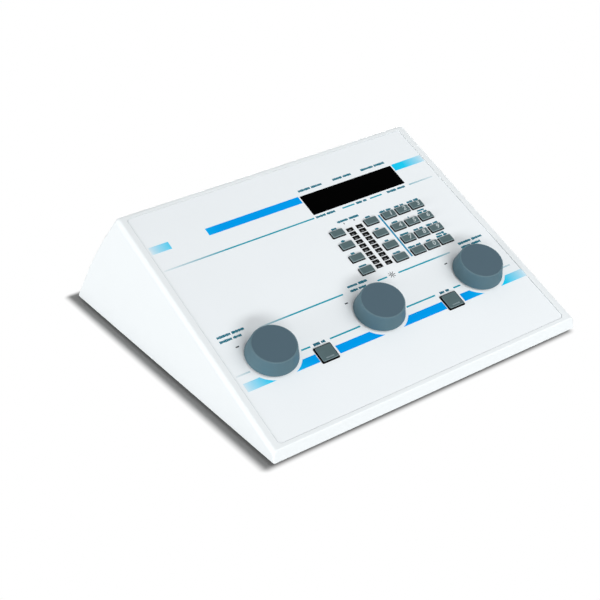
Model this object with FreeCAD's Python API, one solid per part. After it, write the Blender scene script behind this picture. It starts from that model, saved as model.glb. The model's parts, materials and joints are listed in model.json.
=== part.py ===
import FreeCAD, Part
import math
import os

from FreeCAD import Placement, Rotation, Vector

# Desktop audiometer, in millimetres. +X is to the user's right, +Y to the back, +Z up.
# The origin is on the table, under the middle of the case.

# ---------------------------------------------------------------- case
CASE_WIDTH = 303.0
CASE_DEPTH = 366.5
LIP_HEIGHT = 10.5          # upright front face, below the panel
PANEL_SLOPE = 26.55        # degrees
PANEL_LENGTH = 257.6       # up the slope, from the lip to the top edge
BACK_BULGE = 3.8           # the rear slope's middle stands this far out of its chord
WALL = 3.0
EDGE_RADIUS = 4.0
LIP_EDGE_RADIUS = 1.5      # round the lip's own face
BASE_THICKNESS = 3.0
BASE_FIT = 0.3             # gap between the base plate and the walls round it

# ---------------------------------------------------------------- feet
FOOT_HEIGHT = 3.0
FOOT_RADIUS = 8.0
FOOT_EDGE = 0.75
FOOT_PEG_RADIUS = 2.4
FOOT_PEG_FIT = 0.1
FOOT_BARB_RADIUS = 3.3
FOOT_BARB_TIP_RADIUS = 1.7
FOOT_BARB_HEIGHT = 2.0
FOOT_SIDE_INSET = 24.0
FOOT_FRONT_INSET = 26.0
FOOT_BACK_INSET = 36.0

# ---------------------------------------------------------------- screws
SCREW_RADIUS = 1.5
SCREW_HEAD_RADIUS = 2.8
SCREW_HEAD_HEIGHT = 1.5
SCREW_SLOT_DEPTH = 0.8     # cross recess in the head
SCREW_SLOT_WIDTH = 0.9
SCREW_SLOT_SPAN = 3.6
SCREW_HEAD_EDGE = 0.5
CASE_SCREW_LENGTH = 8.0
SCREW_PILOT_FIT = 0.05     # round a thread
SCREW_PASS_FIT = 0.2       # round a shank that passes through
SCREW_TIP_ROOM = 0.5       # of a blind hole beyond the tip
PLATE_TIP_ROOM = 0.1       # the same, in the thin panel and base plates
COUNTERBORE_DEPTH = 1.7
COUNTERBORE_FIT = 0.4
BOSS_RADIUS = 4.5
BOSS_WALL_BITE = 1.0       # a base boss runs this far into the side wall
BASE_SCREW_FRONT_INSET = 12.0
BASE_SCREW_BACK_INSET = 21.5

# ---------------------------------------------------------------- panel, overlay and the rim round them
RIM_SIDE = 8.2             # rim width from the case's side to the recess
RIM_FRONT = 3.8
RIM_BACK = 4.8
RECESS_RADIUS = 3.5
PANEL_GAP = 0.35           # groove between the rim and the sheet
OVERLAY_SINK = 0.35        # the sheet's face lies this far below the rim
OVERLAY_THICKNESS = 0.8
PLATE_THICKNESS = 2.0
LEDGE_WIDTH = 6.0
LEDGE_THICKNESS = 2.5
LEDGE_SCREWS_A_SIDE = 4
LEDGE_SCREW_END_INSET = 18.0
LEDGE_BOSS_RADIUS = 3.8
PLATE_THREAD_DEPTH = 1.6   # of the blind threaded holes in the plate's back

# ---------------------------------------------------------------- small keys
KEY_PITCH = 15.24
KEY_FIELD_V = 141.9        # middle of the four rows, up the slope from the lip
KEY_ROWS = 4
KEYPAD_COLUMNS = 3
KEYPAD_OFFSET = 27.9       # from the middle of the display to the keypad's middle column
SIDE_KEY_OFFSET = 18.0     # from the middle of the lamps to the keys beside them
KEY_WIDTH = 13.5
KEY_LENGTH = 8.0
KEY_CORNER = 0.9
KEY_TAPER = 0.35           # each side, from the sheet to the shoulder
KEY_SHOULDER_CORNER = 0.75
KEY_BEVEL = 0.7            # each side, from the shoulder to the face
KEY_BEVEL_RISE = 0.35
KEY_FACE_CORNER = 0.4
KEY_RISE = 1.7             # above the sheet
KEY_CLEARANCE = 0.3
KEY_FLANGE_OVERLAP = 1.2   # front and back, under the plate
KEY_FLANGE_THICKNESS = 1.0
KEY_TRAVEL = 0.6
KEY_STEM_RADIUS = 1.75
KEY_STEM_REACH = 2.0       # into its switch, at rest
KEY_SWITCH_SIDE = 7.0

# ---------------------------------------------------------------- square push buttons
BUTTON_X = 64.1            # either side of the middle
BUTTON_V = 60.1
BUTTON_WIDTH = 14.8
BUTTON_LENGTH = 14.3
BUTTON_TAPER = 0.15        # each side, from the sheet to the top
BUTTON_CORNER = 1.2
BUTTON_EDGE = 0.4
BUTTON_RISE = 1.7
BUTTON_CLEARANCE = 0.3
BUTTON_TRAVEL = 1.0
BUTTON_FLANGE_OVERLAP = 0.8
BUTTON_FLANGE_THICKNESS = 1.2
BUTTON_STEM_RADIUS = 2.5
BUTTON_STEM_REACH = 1.5
BUTTON_SWITCH_SIDE = 13.0
BEZEL_WALL = 0.35
BEZEL_FLANGE = 0.3
BEZEL_RISE = 0.6
BEZEL_FIT = 0.1

# ---------------------------------------------------------------- fits shared by keys and buttons
FLANGE_GAP = 0.3           # between a flange at rest and the plate's back
PRESSED_GAP = 0.35         # between a pressed flange and its switch
STEM_FIT = 0.05
STEM_END_ROOM = 0.3

# ---------------------------------------------------------------- lamps
LAMPS_OFFSET = -24.65      # from the middle of the display to the middle of the two columns
LAMP_COLUMN_PITCH = 10.16
LAMP_PITCH = 5.08
LAMP_ROWS = 10
LAMP_DROP = 0.5            # of their rows, down the slope from the rows of keys
LAMP_WIDTH = 3.4
LAMP_LENGTH = 2.4
LAMP_CORNER = 0.45
LAMP_FIT = 0.1
LAMP_SINK = 1.0            # below its frame's face
LAMP_FRAME_WIDTH = 6.0
LAMP_FRAME_LENGTH = 3.8
LAMP_FRAME_RISE = 0.3
LAMP_FRAME_STEP = 0.3      # from the frame's edge in to the part in the plate
LAMP_FRAME_CORNER = 0.9
LAMP_FRAME_EDGE = 0.2
LAMP_NECK_CORNER = 0.45    # of the frame below the sheet, and of its hole

# ---------------------------------------------------------------- display
DISPLAY_SIDE_INSET = 93.4  # from the case's right side to the middle of the display
DISPLAY_V = 204.15
DISPLAY_WIDTH = 99.6
DISPLAY_LENGTH = 24.1
DISPLAY_CORNER = 0.8
DISPLAY_FIT = 0.1
DISPLAY_FLANGE = 2.0
DISPLAY_FLANGE_THICKNESS = 1.0
TUBE_WIDTH = 104.0
TUBE_LENGTH = 30.0
TUBE_GAP = 0.3             # behind the window

# ---------------------------------------------------------------- knobs and encoders
KNOB_SIDE_INSET = 46.6     # from the case's sides to the outer knobs' axes
KNOB_V = 77.8
KNOB_BOTTOM_RADIUS = 22.2
KNOB_TOP_RADIUS = 19.0
KNOB_RISE = 14.6           # of its top, above the sheet
KNOB_GAP = 1.5             # under its skirt
KNOB_WALL = 2.2
KNOB_TOP_THICKNESS = 3.2
KNOB_EDGE = 0.9
KNOB_CAP_RADIUS = 17.9
KNOB_CAP_THICKNESS = 0.9
KNOB_CAP_FIT = 0.05
HUB_RADIUS = 6.0
HUB_GAP = 0.6              # above the bushing
SHAFT_RADIUS = 3.0
SHAFT_BORE_FIT = 0.05
SHAFT_HUB_FIT = 0.01
SHAFT_END_ROOM = 0.3
ENCODER_SIDE = 14.0
ENCODER_FLOOR = 1.5
BUSHING_RADIUS = 4.5
BUSHING_RISE = 3.0         # above the sheet
BUSHING_FIT = 0.1
ENCODER_NUT_ACROSS = 12.0
ENCODER_NUT_THICKNESS = 2.0
NUT_FIT = 0.05

# ---------------------------------------------------------------- circuit boards
BOARD_THICKNESS = 1.6
SPACER_LENGTH = 7.5
SPACER_RADIUS = 2.75
BOARD_CORNER = 2.0
SPACER_EDGE_INSET = 3.5    # from a board's edge to its spacers
KEY_BOARD_WIDTH = 112.0
KEY_BOARD_LENGTH = 72.0
KEY_BOARD_OFFSET = 0.2     # from the middle of the display
DISPLAY_BOARD_WIDTH = 120.0
DISPLAY_BOARD_LENGTH = 38.0
CONTROL_BOARD_SIDE_INSET = 29.5
CONTROL_BOARD_LENGTH = 44.0
CONTROL_BOARD_V = 70.0
CONTROL_SPACER_X = 32.0    # inner pair, either side of the middle
MAIN_BOARD_WIDTH = 220.0
MAIN_BOARD_LENGTH = 166.0
HEADER_WIDTH = 50.0
HEADER_DEPTH = 9.0
HEADER_HEIGHT = 8.5
HEADER_V_OFFSET = -17.0    # from the middle of the key board
RIBBON_WIDTH = 46.0
RIBBON_THICKNESS = 1.0
RIBBON_STRAIGHT = 12.0
RIBBON_BEND_RADIUS = 25.0
HEADER_TO_BOARD_EDGE = 10.0

# ---------------------------------------------------------------- parts on the main board
CHIP_WIDTH = 7.6
CHIP_LENGTH = 25.4
CHIP_HEIGHT = 4.0
CHIP_PITCH = 25.0
CHIP_ROWS = 2
CHIPS_IN_ROW = 4
CHIP_ROW_PITCH = 38.0
CHIP_FIELD_X = -42.0
PROCESSOR_SIDE = 30.0
PROCESSOR_HEIGHT = 4.5
PROCESSOR_CORNER = 1.0
PROCESSOR_X = 58.0
CAPACITOR_RADIUS = 6.5
CAPACITOR_HEIGHT = 20.0
CAPACITOR_EDGE = 0.8
CAPACITOR_PITCH = 18.0
CAPACITORS = 4
CAPACITOR_FIELD_X = -52.0
PART_FIELD_BACK_INSET = 24.0
HEAT_SINK_X = 52.0
HEAT_SINK_WIDTH = 60.0
HEAT_SINK_DEPTH = 16.0
HEAT_SINK_HEIGHT = 24.0
HEAT_SINK_BASE = 3.0
HEAT_SINK_FIN = 2.0
HEAT_SINK_FINS = 9

# ---------------------------------------------------------------- vents in the base
VENT_WIDTH = 3.0
VENT_LENGTH = 26.0
VENT_CORNER = 1.45
VENT_PITCH = 9.0
VENTS_IN_ROW = 9
VENT_ROWS = 2
VENT_ROW_PITCH = 40.0

# ---------------------------------------------------------------- connector plate in the rear slope
REAR_MIDDLE = 80.0         # up the rear slope from its foot
REAR_WIDTH = 200.0
REAR_LENGTH = 40.0
REAR_CORNER = 3.0
REAR_GAP = 0.3
REAR_FLOOR = 0.3           # recess floor, above the slope's chord
REAR_PLATE_THICKNESS = 1.5
REAR_LEDGE_SIDE = 9.0
REAR_LEDGE_END = 5.0
REAR_SCREW_INSET_X = 4.7
REAR_SCREW_INSET_V = 6.0
REAR_BOSS_RADIUS = 3.8
REAR_BOSS_SKIN = 1.0       # of boss beyond its blind hole
JACKS = 6
JACK_PITCH = 22.0
JACK_FIELD_X = -25.0
JACK_BORE_RADIUS = 3.2
JACK_BUSHING_RADIUS = 4.75
JACK_BUSHING_RISE = 3.6    # above the plate
JACK_BORE_DEPTH = 26.0
JACK_FLOOR = 2.0
JACK_BODY_WIDTH = 15.0
JACK_BODY_LENGTH = 16.0
JACK_NUT_ACROSS = 13.0
JACK_NUT_THICKNESS = 2.2
JACK_HOLE_FIT = 0.1
INLET_X = 54.0
INLET_RADIUS = 4.0
INLET_FLANGE_RADIUS = 5.2
INLET_FLANGE_THICKNESS = 1.2
INLET_BORE_RADIUS = 2.75
INLET_PIN_RADIUS = 1.0
INLET_DEPTH = 9.0
INLET_FLOOR = 2.0
SWITCH_X = 79.5
SWITCH_WIDTH = 19.2
SWITCH_LENGTH = 12.8
SWITCH_BODY_DEPTH = 12.0
SWITCH_FLANGE = 1.0
SWITCH_FLANGE_THICKNESS = 1.5
SWITCH_HOLE_FIT = 0.1
ROCKER_WIDTH = 14.8
ROCKER_LENGTH = 9.6
ROCKER_POCKET_WALL = 0.35  # gap at the rocker's ends, in its tilted positions
ROCKER_SIDE_GAP = 0.3
ROCKER_TILT = 7.0          # degrees, either way
ROCKER_MIDDLE_RISE = 1.4   # of its waist above the pivot
ROCKER_END_RISE = 2.6
ROCKER_SKIRT = 2.0         # below the pivot, at the ends
ROCKER_BELLY = 4.0         # below the pivot, in the middle
ROCKER_BELLY_WIDTH = 5.0
ROCKER_PIN_RADIUS = 1.0
ROCKER_PIN_LENGTH = 0.9
ROCKER_PIN_FIT = 0.05
ROCKER_FLOOR_GAP = 0.5

# ---------------------------------------------------------------- sizes worked out from those above
SLOPE = math.radians(PANEL_SLOPE)
Y_FRONT = -CASE_DEPTH / 2
Y_BACK = CASE_DEPTH / 2
Z_BASE = FOOT_HEIGHT
Z_BASE_TOP = Z_BASE + BASE_THICKNESS
Z_LIP = Z_BASE + LIP_HEIGHT
TOP_Y = Y_FRONT + PANEL_LENGTH * math.cos(SLOPE)
TOP_Z = Z_LIP + PANEL_LENGTH * math.sin(SLOPE)

# Heights along the panel's normal, counted from the rim's face.
H_SHEET = -OVERLAY_SINK
H_PLATE = H_SHEET - OVERLAY_THICKNESS
H_LEDGE = H_PLATE - PLATE_THICKNESS
H_LEDGE_BACK = H_LEDGE - LEDGE_THICKNESS
H_BOARD = H_LEDGE - SPACER_LENGTH
H_BOARD_BACK = H_BOARD - BOARD_THICKNESS

KNOB_PITCH = CASE_WIDTH / 2 - KNOB_SIDE_INSET
DISPLAY_X = CASE_WIDTH / 2 - DISPLAY_SIDE_INSET
KEYPAD_X = DISPLAY_X + KEYPAD_OFFSET
LAMP_COLUMNS_X = DISPLAY_X + LAMPS_OFFSET
KEY_BOARD_X = DISPLAY_X + KEY_BOARD_OFFSET
CONTROL_BOARD_WIDTH = CASE_WIDTH - 2 * CONTROL_BOARD_SIDE_INSET
RECESS_WIDTH = CASE_WIDTH - 2 * RIM_SIDE
RECESS_LENGTH = PANEL_LENGTH - RIM_FRONT - RIM_BACK
RECESS_V = RIM_FRONT + RECESS_LENGTH / 2
BOARD_SCREW_LENGTH = BOARD_THICKNESS + SPACER_LENGTH + PLATE_THREAD_DEPTH - PLATE_TIP_ROOM
LEDGE_SCREW_X = RECESS_WIDTH / 2 - LEDGE_WIDTH / 2
H_LEDGE_BOSS = H_LEDGE + PLATE_THREAD_DEPTH - PLATE_TIP_ROOM - CASE_SCREW_LENGTH

BASE_SCREW_X = CASE_WIDTH / 2 - WALL - BOSS_RADIUS + BOSS_WALL_BITE
FOOT_X = CASE_WIDTH / 2 - FOOT_SIDE_INSET
FOOT_YS = (Y_FRONT + FOOT_FRONT_INSET, Y_BACK - FOOT_BACK_INSET)

H_KEY_FLANGE = H_LEDGE - FLANGE_GAP
H_KEY_FLANGE_BACK = H_KEY_FLANGE - KEY_FLANGE_THICKNESS
H_KEY_SWITCH = H_KEY_FLANGE_BACK - KEY_TRAVEL - PRESSED_GAP
H_BUTTON_FLANGE_BACK = H_KEY_FLANGE - BUTTON_FLANGE_THICKNESS
H_BUTTON_SWITCH = H_BUTTON_FLANGE_BACK - BUTTON_TRAVEL - PRESSED_GAP

Z_MAIN_BOARD = Z_BASE_TOP + SPACER_LENGTH
Z_MAIN_BOARD_TOP = Z_MAIN_BOARD + BOARD_THICKNESS

CHORD_Y = TOP_Y - Y_BACK
CHORD_Z = TOP_Z - Z_BASE
CHORD = math.hypot(CHORD_Y, CHORD_Z)
REAR_UP = Vector(0, CHORD_Y / CHORD, CHORD_Z / CHORD)
REAR_OUT = Vector(0, CHORD_Z / CHORD, -CHORD_Y / CHORD)
REAR_PLATE_FACE = REAR_FLOOR + REAR_PLATE_THICKNESS
REAR_SCREW_X = REAR_WIDTH / 2 - REAR_SCREW_INSET_X
REAR_SCREW_V = REAR_LENGTH / 2 - REAR_SCREW_INSET_V

# Panel frame: X to the right, Y up the slope, Z out of the panel.
PANEL_FRAME = Placement(Vector(0, Y_FRONT, Z_LIP), Rotation(Vector(1, 0, 0), PANEL_SLOPE))
# Rear frame, seen from behind: X to the right, Y up the rear slope, Z out of it.
REAR_FRAME = Placement(Vector(0, Y_BACK, Z_BASE), Rotation(Vector(-1, 0, 0), REAR_UP, REAR_OUT, "ZXY"))


# ---------------------------------------------------------------- shape helpers
def placed(shape, frame):
    moved = shape.copy()
    moved.Placement = frame.multiply(moved.Placement)
    return moved


def shifted(shape, x, y, z=0.0):
    moved = shape.copy()
    moved.translate(Vector(x, y, z))
    return moved


def rounded_outline(width, length, radius, z):
    """Closed outline of a rectangle with round corners, centred on the Z axis."""
    x, y = width / 2, length / 2
    r = radius
    k = r * (1 - math.sqrt(0.5))

    def line(start, end):
        return Part.LineSegment(Vector(*start, z), Vector(*end, z)).toShape()

    def arc(start, middle, end):
        return Part.Arc(Vector(*start, z), Vector(*middle, z), Vector(*end, z)).toShape()

    return Part.Wire([
        line((-x + r, -y), (x - r, -y)),
        arc((x - r, -y), (x - k, -y + k), (x, -y + r)),
        line((x, -y + r), (x, y - r)),
        arc((x, y - r), (x - k, y - k), (x - r, y)),
        line((x - r, y), (-x + r, y)),
        arc((-x + r, y), (-x + k, y - k), (-x, y - r)),
        line((-x, y - r), (-x, -y + r)),
        arc((-x, -y + r), (-x + k, -y + k), (-x + r, -y)),
    ])


def slab(width, length, radius, low, high):
    """Upright plate with round corners, centred on the Z axis."""
    outline = rounded_outline(width, length, radius, low)
    return Part.Face(outline).extrude(Vector(0, 0, high - low))


def block(width, length, low, high):
    return Part.makeBox(width, length, high - low, Vector(-width / 2, -length / 2, low))


def rod(radius, low, high):
    return Part.makeCylinder(radius, high - low, Vector(0, 0, low))


def nut(across, bore, low, high):
    corner = across / 2 / math.cos(math.pi / 6)
    points = [Vector(corner * math.cos(a), corner * math.sin(a), low)
              for a in [math.radians(60 * i) for i in range(7)]]
    prism = Part.Face(Part.makePolygon(points)).extrude(Vector(0, 0, high - low))
    rounded_corners = Part.makeCone(across / 2 + (high - low), across / 2, high - low, Vector(0, 0, low))
    return prism.common(rounded_corners).cut(rod(bore, low - 1, high + 1))


def screw(length):
    """Pan-head screw pointing down -Z, with its head's underside at zero."""
    head = rod(SCREW_HEAD_RADIUS, 0, SCREW_HEAD_HEIGHT)
    head = head.makeFillet(SCREW_HEAD_EDGE, edges_at(head, SCREW_HEAD_HEIGHT))
    slot_floor = SCREW_HEAD_HEIGHT - SCREW_SLOT_DEPTH
    cross = block(SCREW_SLOT_SPAN, SCREW_SLOT_WIDTH, slot_floor, SCREW_HEAD_HEIGHT + 1)
    cross = cross.fuse(block(SCREW_SLOT_WIDTH, SCREW_SLOT_SPAN, slot_floor, SCREW_HEAD_HEIGHT + 1))
    return head.fuse(rod(SCREW_RADIUS, -length, 0)).cut(cross).removeSplitter()


def flipped(shape):
    """Turned over about the X axis, for what points into the panel from behind."""
    moved = shape.copy()
    moved.rotate(Vector(0, 0, 0), Vector(1, 0, 0), 180)
    return moved


def edges_at(shape, z):
    return [e for e in shape.Edges if abs(e.BoundBox.ZMin - z) < 1e-4 and abs(e.BoundBox.ZMax - z) < 1e-4]


def crossing(p, d, q, e):
    """Point where the line through p along d meets the line through q along e, as (y, z)."""
    det = d[0] * e[1] - d[1] * e[0]
    s = ((q[0] - p[0]) * e[1] - (q[1] - p[1]) * e[0]) / det
    return (p[0] + s * d[0], p[1] + s * d[1])


# ---------------------------------------------------------------- places of what repeats
def key_rows():
    return [KEY_FIELD_V + ((KEY_ROWS - 1) / 2 - i) * KEY_PITCH for i in range(KEY_ROWS)]


def key_places():
    """Node name and place (x, v) of each small key."""
    keypad = [["key_1", "key_2", "key_3"],
              ["key_4", "key_5", "key_6"],
              ["key_7", "key_8", "key_9"],
              ["key_lower_left", "key_0", "key_lower_right"]]
    places = {}
    for i, v in enumerate(key_rows()):
        places["key_a%d" % (i + 1)] = (LAMP_COLUMNS_X - SIDE_KEY_OFFSET, v)
        places["key_b%d" % (i + 1)] = (LAMP_COLUMNS_X + SIDE_KEY_OFFSET, v)
        for j, name in enumerate(keypad[i]):
            places[name] = (KEYPAD_X + (j - (KEYPAD_COLUMNS - 1) / 2) * KEY_PITCH, v)
    return places


def lamp_places():
    columns = [LAMP_COLUMNS_X + side * LAMP_COLUMN_PITCH / 2 for side in (-1, 1)]
    top = KEY_FIELD_V - LAMP_DROP + (LAMP_ROWS - 1) / 2 * LAMP_PITCH
    return [(x, top - i * LAMP_PITCH) for x in columns for i in range(LAMP_ROWS)]


def knob_places():
    return {"left": (-KNOB_PITCH, KNOB_V), "middle": (0.0, KNOB_V), "right": (KNOB_PITCH, KNOB_V)}


def button_places():
    return {"left": (-BUTTON_X, BUTTON_V), "right": (BUTTON_X, BUTTON_V)}


def corner_places(x, y, width, length):
    dx, dy = width / 2 - SPACER_EDGE_INSET, length / 2 - SPACER_EDGE_INSET
    return [(x + sx * dx, y + sy * dy) for sx in (-1, 1) for sy in (-1, 1)]


def key_spacers():
    return corner_places(KEY_BOARD_X, KEY_FIELD_V, KEY_BOARD_WIDTH, KEY_BOARD_LENGTH)


def display_spacers():
    return corner_places(DISPLAY_X, DISPLAY_V, DISPLAY_BOARD_WIDTH, DISPLAY_BOARD_LENGTH)


def control_spacers():
    outer = corner_places(0, CONTROL_BOARD_V, CONTROL_BOARD_WIDTH, CONTROL_BOARD_LENGTH)
    dy = CONTROL_BOARD_LENGTH / 2 - SPACER_EDGE_INSET
    inner = [(sx * CONTROL_SPACER_X, CONTROL_BOARD_V + sy * dy) for sx in (-1, 1) for sy in (-1, 1)]
    return outer + inner


def panel_spacers():
    return key_spacers() + display_spacers() + control_spacers()


def ledge_screw_places():
    low = RIM_FRONT + LEDGE_SCREW_END_INSET
    step = (RECESS_LENGTH - 2 * LEDGE_SCREW_END_INSET) / (LEDGE_SCREWS_A_SIDE - 1)
    return [(side * LEDGE_SCREW_X, low + i * step) for side in (-1, 1) for i in range(LEDGE_SCREWS_A_SIDE)]


def base_screw_places():
    front, back = Y_FRONT + BASE_SCREW_FRONT_INSET, Y_BACK - BASE_SCREW_BACK_INSET
    return [(side * BASE_SCREW_X, y) for side in (-1, 1) for y in (front, (front + back) / 2, back)]


def foot_places():
    return [(side * FOOT_X, y) for side in (-1, 1) for y in FOOT_YS]


def rear_screw_places():
    return [(sx * REAR_SCREW_X, REAR_MIDDLE + sy * REAR_SCREW_V) for sx in (-1, 1) for sy in (-1, 1)]


def jack_places():
    return [(JACK_FIELD_X + (i - (JACKS - 1) / 2) * JACK_PITCH, REAR_MIDDLE) for i in range(JACKS)]


def ribbon_bend():
    """Centre (y, z) of the flat cable's bend: the cable leaves its upper header square to the key board."""
    v = KEY_FIELD_V + HEADER_V_OFFSET
    h = H_BOARD_BACK - HEADER_HEIGHT - RIBBON_STRAIGHT
    y = Y_FRONT + v * math.cos(SLOPE) - h * math.sin(SLOPE)
    z = Z_LIP + v * math.sin(SLOPE) + h * math.cos(SLOPE)
    return (y - RIBBON_BEND_RADIUS * math.cos(SLOPE), z - RIBBON_BEND_RADIUS * math.sin(SLOPE))


def main_header_y():
    return ribbon_bend()[0] + RIBBON_BEND_RADIUS


def main_board_y():
    return main_header_y() - HEADER_TO_BOARD_EDGE + MAIN_BOARD_LENGTH / 2


def main_spacers():
    y = main_board_y()
    middle = [(sx * (MAIN_BOARD_WIDTH / 2 - SPACER_EDGE_INSET), y) for sx in (-1, 1)]
    return corner_places(0, y, MAIN_BOARD_WIDTH, MAIN_BOARD_LENGTH) + middle


# ---------------------------------------------------------------- case
def case_block():
    """The case's outer form: wedge profile, slightly bowed at the back, with rounded edges."""
    near = 0.01

    def point(y, z):
        return Vector(-CASE_WIDTH / 2, y, z)

    foot_front, lip = point(Y_FRONT, Z_BASE), point(Y_FRONT, Z_LIP)
    top, foot_back = point(TOP_Y, TOP_Z), point(Y_BACK, Z_BASE)
    bow = (top + foot_back) * 0.5 + REAR_OUT * BACK_BULGE
    profile = Part.Wire([
        Part.LineSegment(foot_front, lip).toShape(),
        Part.LineSegment(lip, top).toShape(),
        Part.Arc(top, bow, foot_back).toShape(),
        Part.LineSegment(foot_back, foot_front).toShape(),
    ])
    solid = Part.Face(profile).extrude(Vector(CASE_WIDTH, 0, 0))
    upper = [e for e in solid.Edges if e.BoundBox.ZMax > Z_BASE + near and e.BoundBox.YMax > Y_FRONT + near]
    solid = solid.makeFillet(EDGE_RADIUS, upper)
    round_lip = [e for e in solid.Edges if e.BoundBox.ZMax > Z_BASE + near and e.BoundBox.YMax < Y_FRONT + near]
    return solid.makeFillet(LIP_EDGE_RADIUS, round_lip)


def inside(inset):
    """The room inside the case, kept a further inset away from all its walls and open below."""
    gap = WALL + inset
    depth = inset - H_LEDGE_BACK
    low = Z_BASE - 1
    along = (math.cos(SLOPE), math.sin(SLOPE))
    roof = (Y_FRONT + depth * math.sin(SLOPE), Z_LIP - depth * math.cos(SLOPE))
    rear = (Y_BACK - gap * REAR_OUT.y, Z_BASE - gap * REAR_OUT.z)
    chord = (REAR_UP.y, REAR_UP.z)
    front = (Y_FRONT + gap, low)
    corners = [front, crossing(front, (0, 1), roof, along), crossing(roof, along, rear, chord),
               crossing(rear, chord, front, (1, 0))]
    half = CASE_WIDTH / 2 - gap
    points = [Vector(-half, y, z) for y, z in corners + corners[:1]]
    return Part.Face(Part.makePolygon(points)).extrude(Vector(2 * half, 0, 0))


def housing_shell():
    outer = case_block()
    blind = CASE_SCREW_LENGTH + SCREW_TIP_ROOM
    bosses = [shifted(rod(BOSS_RADIUS, Z_BASE_TOP, TOP_Z), x, y) for x, y in base_screw_places()]
    bosses = [b.common(outer) for b in bosses]
    for x, v in ledge_screw_places():
        boss = shifted(rod(LEDGE_BOSS_RADIUS, H_LEDGE_BOSS, H_LEDGE_BACK + 1), x, v)
        bosses.append(placed(boss, PANEL_FRAME))
    rear_hole_end = REAR_PLATE_FACE - blind
    for x, v in rear_screw_places():
        boss = shifted(rod(REAR_BOSS_RADIUS, rear_hole_end - REAR_BOSS_SKIN, REAR_FLOOR - 1), x, v)
        bosses.append(placed(boss, REAR_FRAME))
    shell = outer.cut(inside(0)).fuse(bosses)

    pilot = SCREW_RADIUS + SCREW_PILOT_FIT
    screw_seat = Z_BASE + COUNTERBORE_DEPTH
    cuts = [
        placed(shifted(slab(RECESS_WIDTH, RECESS_LENGTH, RECESS_RADIUS, H_LEDGE, 1), 0, RECESS_V),
               PANEL_FRAME),
        placed(shifted(slab(RECESS_WIDTH - 2 * LEDGE_WIDTH, RECESS_LENGTH - 2 * LEDGE_WIDTH, RECESS_RADIUS,
                            H_LEDGE_BACK - 1, 0), 0, RECESS_V), PANEL_FRAME),
        placed(shifted(slab(REAR_WIDTH, REAR_LENGTH, REAR_CORNER, REAR_FLOOR, BACK_BULGE + 1),
                       0, REAR_MIDDLE), REAR_FRAME),
        placed(shifted(slab(REAR_WIDTH - 2 * REAR_LEDGE_SIDE, REAR_LENGTH - 2 * REAR_LEDGE_END, REAR_CORNER,
                            -WALL - 1, BACK_BULGE), 0, REAR_MIDDLE), REAR_FRAME),
    ]
    cuts += [shifted(rod(pilot, Z_BASE, screw_seat + blind), x, y) for x, y in base_screw_places()]
    ledge_hole = rod(SCREW_RADIUS + SCREW_PASS_FIT, H_LEDGE_BOSS - 1, H_LEDGE + 1)
    cuts += [placed(shifted(ledge_hole, x, v), PANEL_FRAME) for x, v in ledge_screw_places()]
    rear_hole = rod(pilot, rear_hole_end, REAR_FLOOR + 1)
    cuts += [placed(shifted(rear_hole, x, v), REAR_FRAME) for x, v in rear_screw_places()]
    return shell.cut(cuts)


def base_plate():
    floor = Part.makeBox(CASE_WIDTH, CASE_DEPTH, BASE_THICKNESS, Vector(-CASE_WIDTH / 2, Y_FRONT, Z_BASE))
    plate = inside(BASE_FIT).common(floor)
    counterbore = rod(SCREW_HEAD_RADIUS + COUNTERBORE_FIT, Z_BASE - 1, Z_BASE + COUNTERBORE_DEPTH)
    passage = rod(SCREW_RADIUS + SCREW_PASS_FIT, Z_BASE - 1, Z_BASE_TOP + 1)
    peg_hole = rod(FOOT_PEG_RADIUS + FOOT_PEG_FIT, Z_BASE - 1, Z_BASE_TOP + 1)
    thread = rod(SCREW_RADIUS + SCREW_PILOT_FIT, Z_BASE_TOP - PLATE_THREAD_DEPTH, Z_BASE_TOP + 1)
    vent = slab(VENT_WIDTH, VENT_LENGTH, VENT_CORNER, Z_BASE - 1, Z_BASE_TOP + 1)
    cuts = [shifted(tool, x, y) for x, y in base_screw_places() for tool in (counterbore, passage)]
    cuts += [shifted(peg_hole, x, y) for x, y in foot_places()]
    cuts += [shifted(thread, x, y) for x, y in main_spacers()]
    for row in range(VENT_ROWS):
        y = main_board_y() + (row - (VENT_ROWS - 1) / 2) * VENT_ROW_PITCH
        for i in range(VENTS_IN_ROW):
            cuts.append(shifted(vent, (i - (VENTS_IN_ROW - 1) / 2) * VENT_PITCH, y))
    return plate.cut(cuts)


def rubber_feet():
    pad = rod(FOOT_RADIUS, 0, FOOT_HEIGHT)
    pad = pad.makeFillet(FOOT_EDGE, edges_at(pad, 0))
    barb_low = Z_BASE_TOP + FOOT_PEG_FIT
    peg = rod(FOOT_PEG_RADIUS, FOOT_HEIGHT / 2, barb_low + FOOT_BARB_HEIGHT / 2)
    barb = Part.makeCone(FOOT_BARB_RADIUS, FOOT_BARB_TIP_RADIUS, FOOT_BARB_HEIGHT, Vector(0, 0, barb_low))
    foot = pad.fuse([peg, barb])
    return [shifted(foot, x, y) for x, y in foot_places()]


def case_screws():
    one = screw(CASE_SCREW_LENGTH)
    from_behind = flipped(one)
    screws = [shifted(from_behind, x, y, Z_BASE + COUNTERBORE_DEPTH) for x, y in base_screw_places()]
    screws += [placed(shifted(from_behind, x, v, H_LEDGE_BOSS), PANEL_FRAME) for x, v in ledge_screw_places()]
    screws += [placed(shifted(one, x, v, REAR_PLATE_FACE), REAR_FRAME) for x, v in rear_screw_places()]
    return screws


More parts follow.
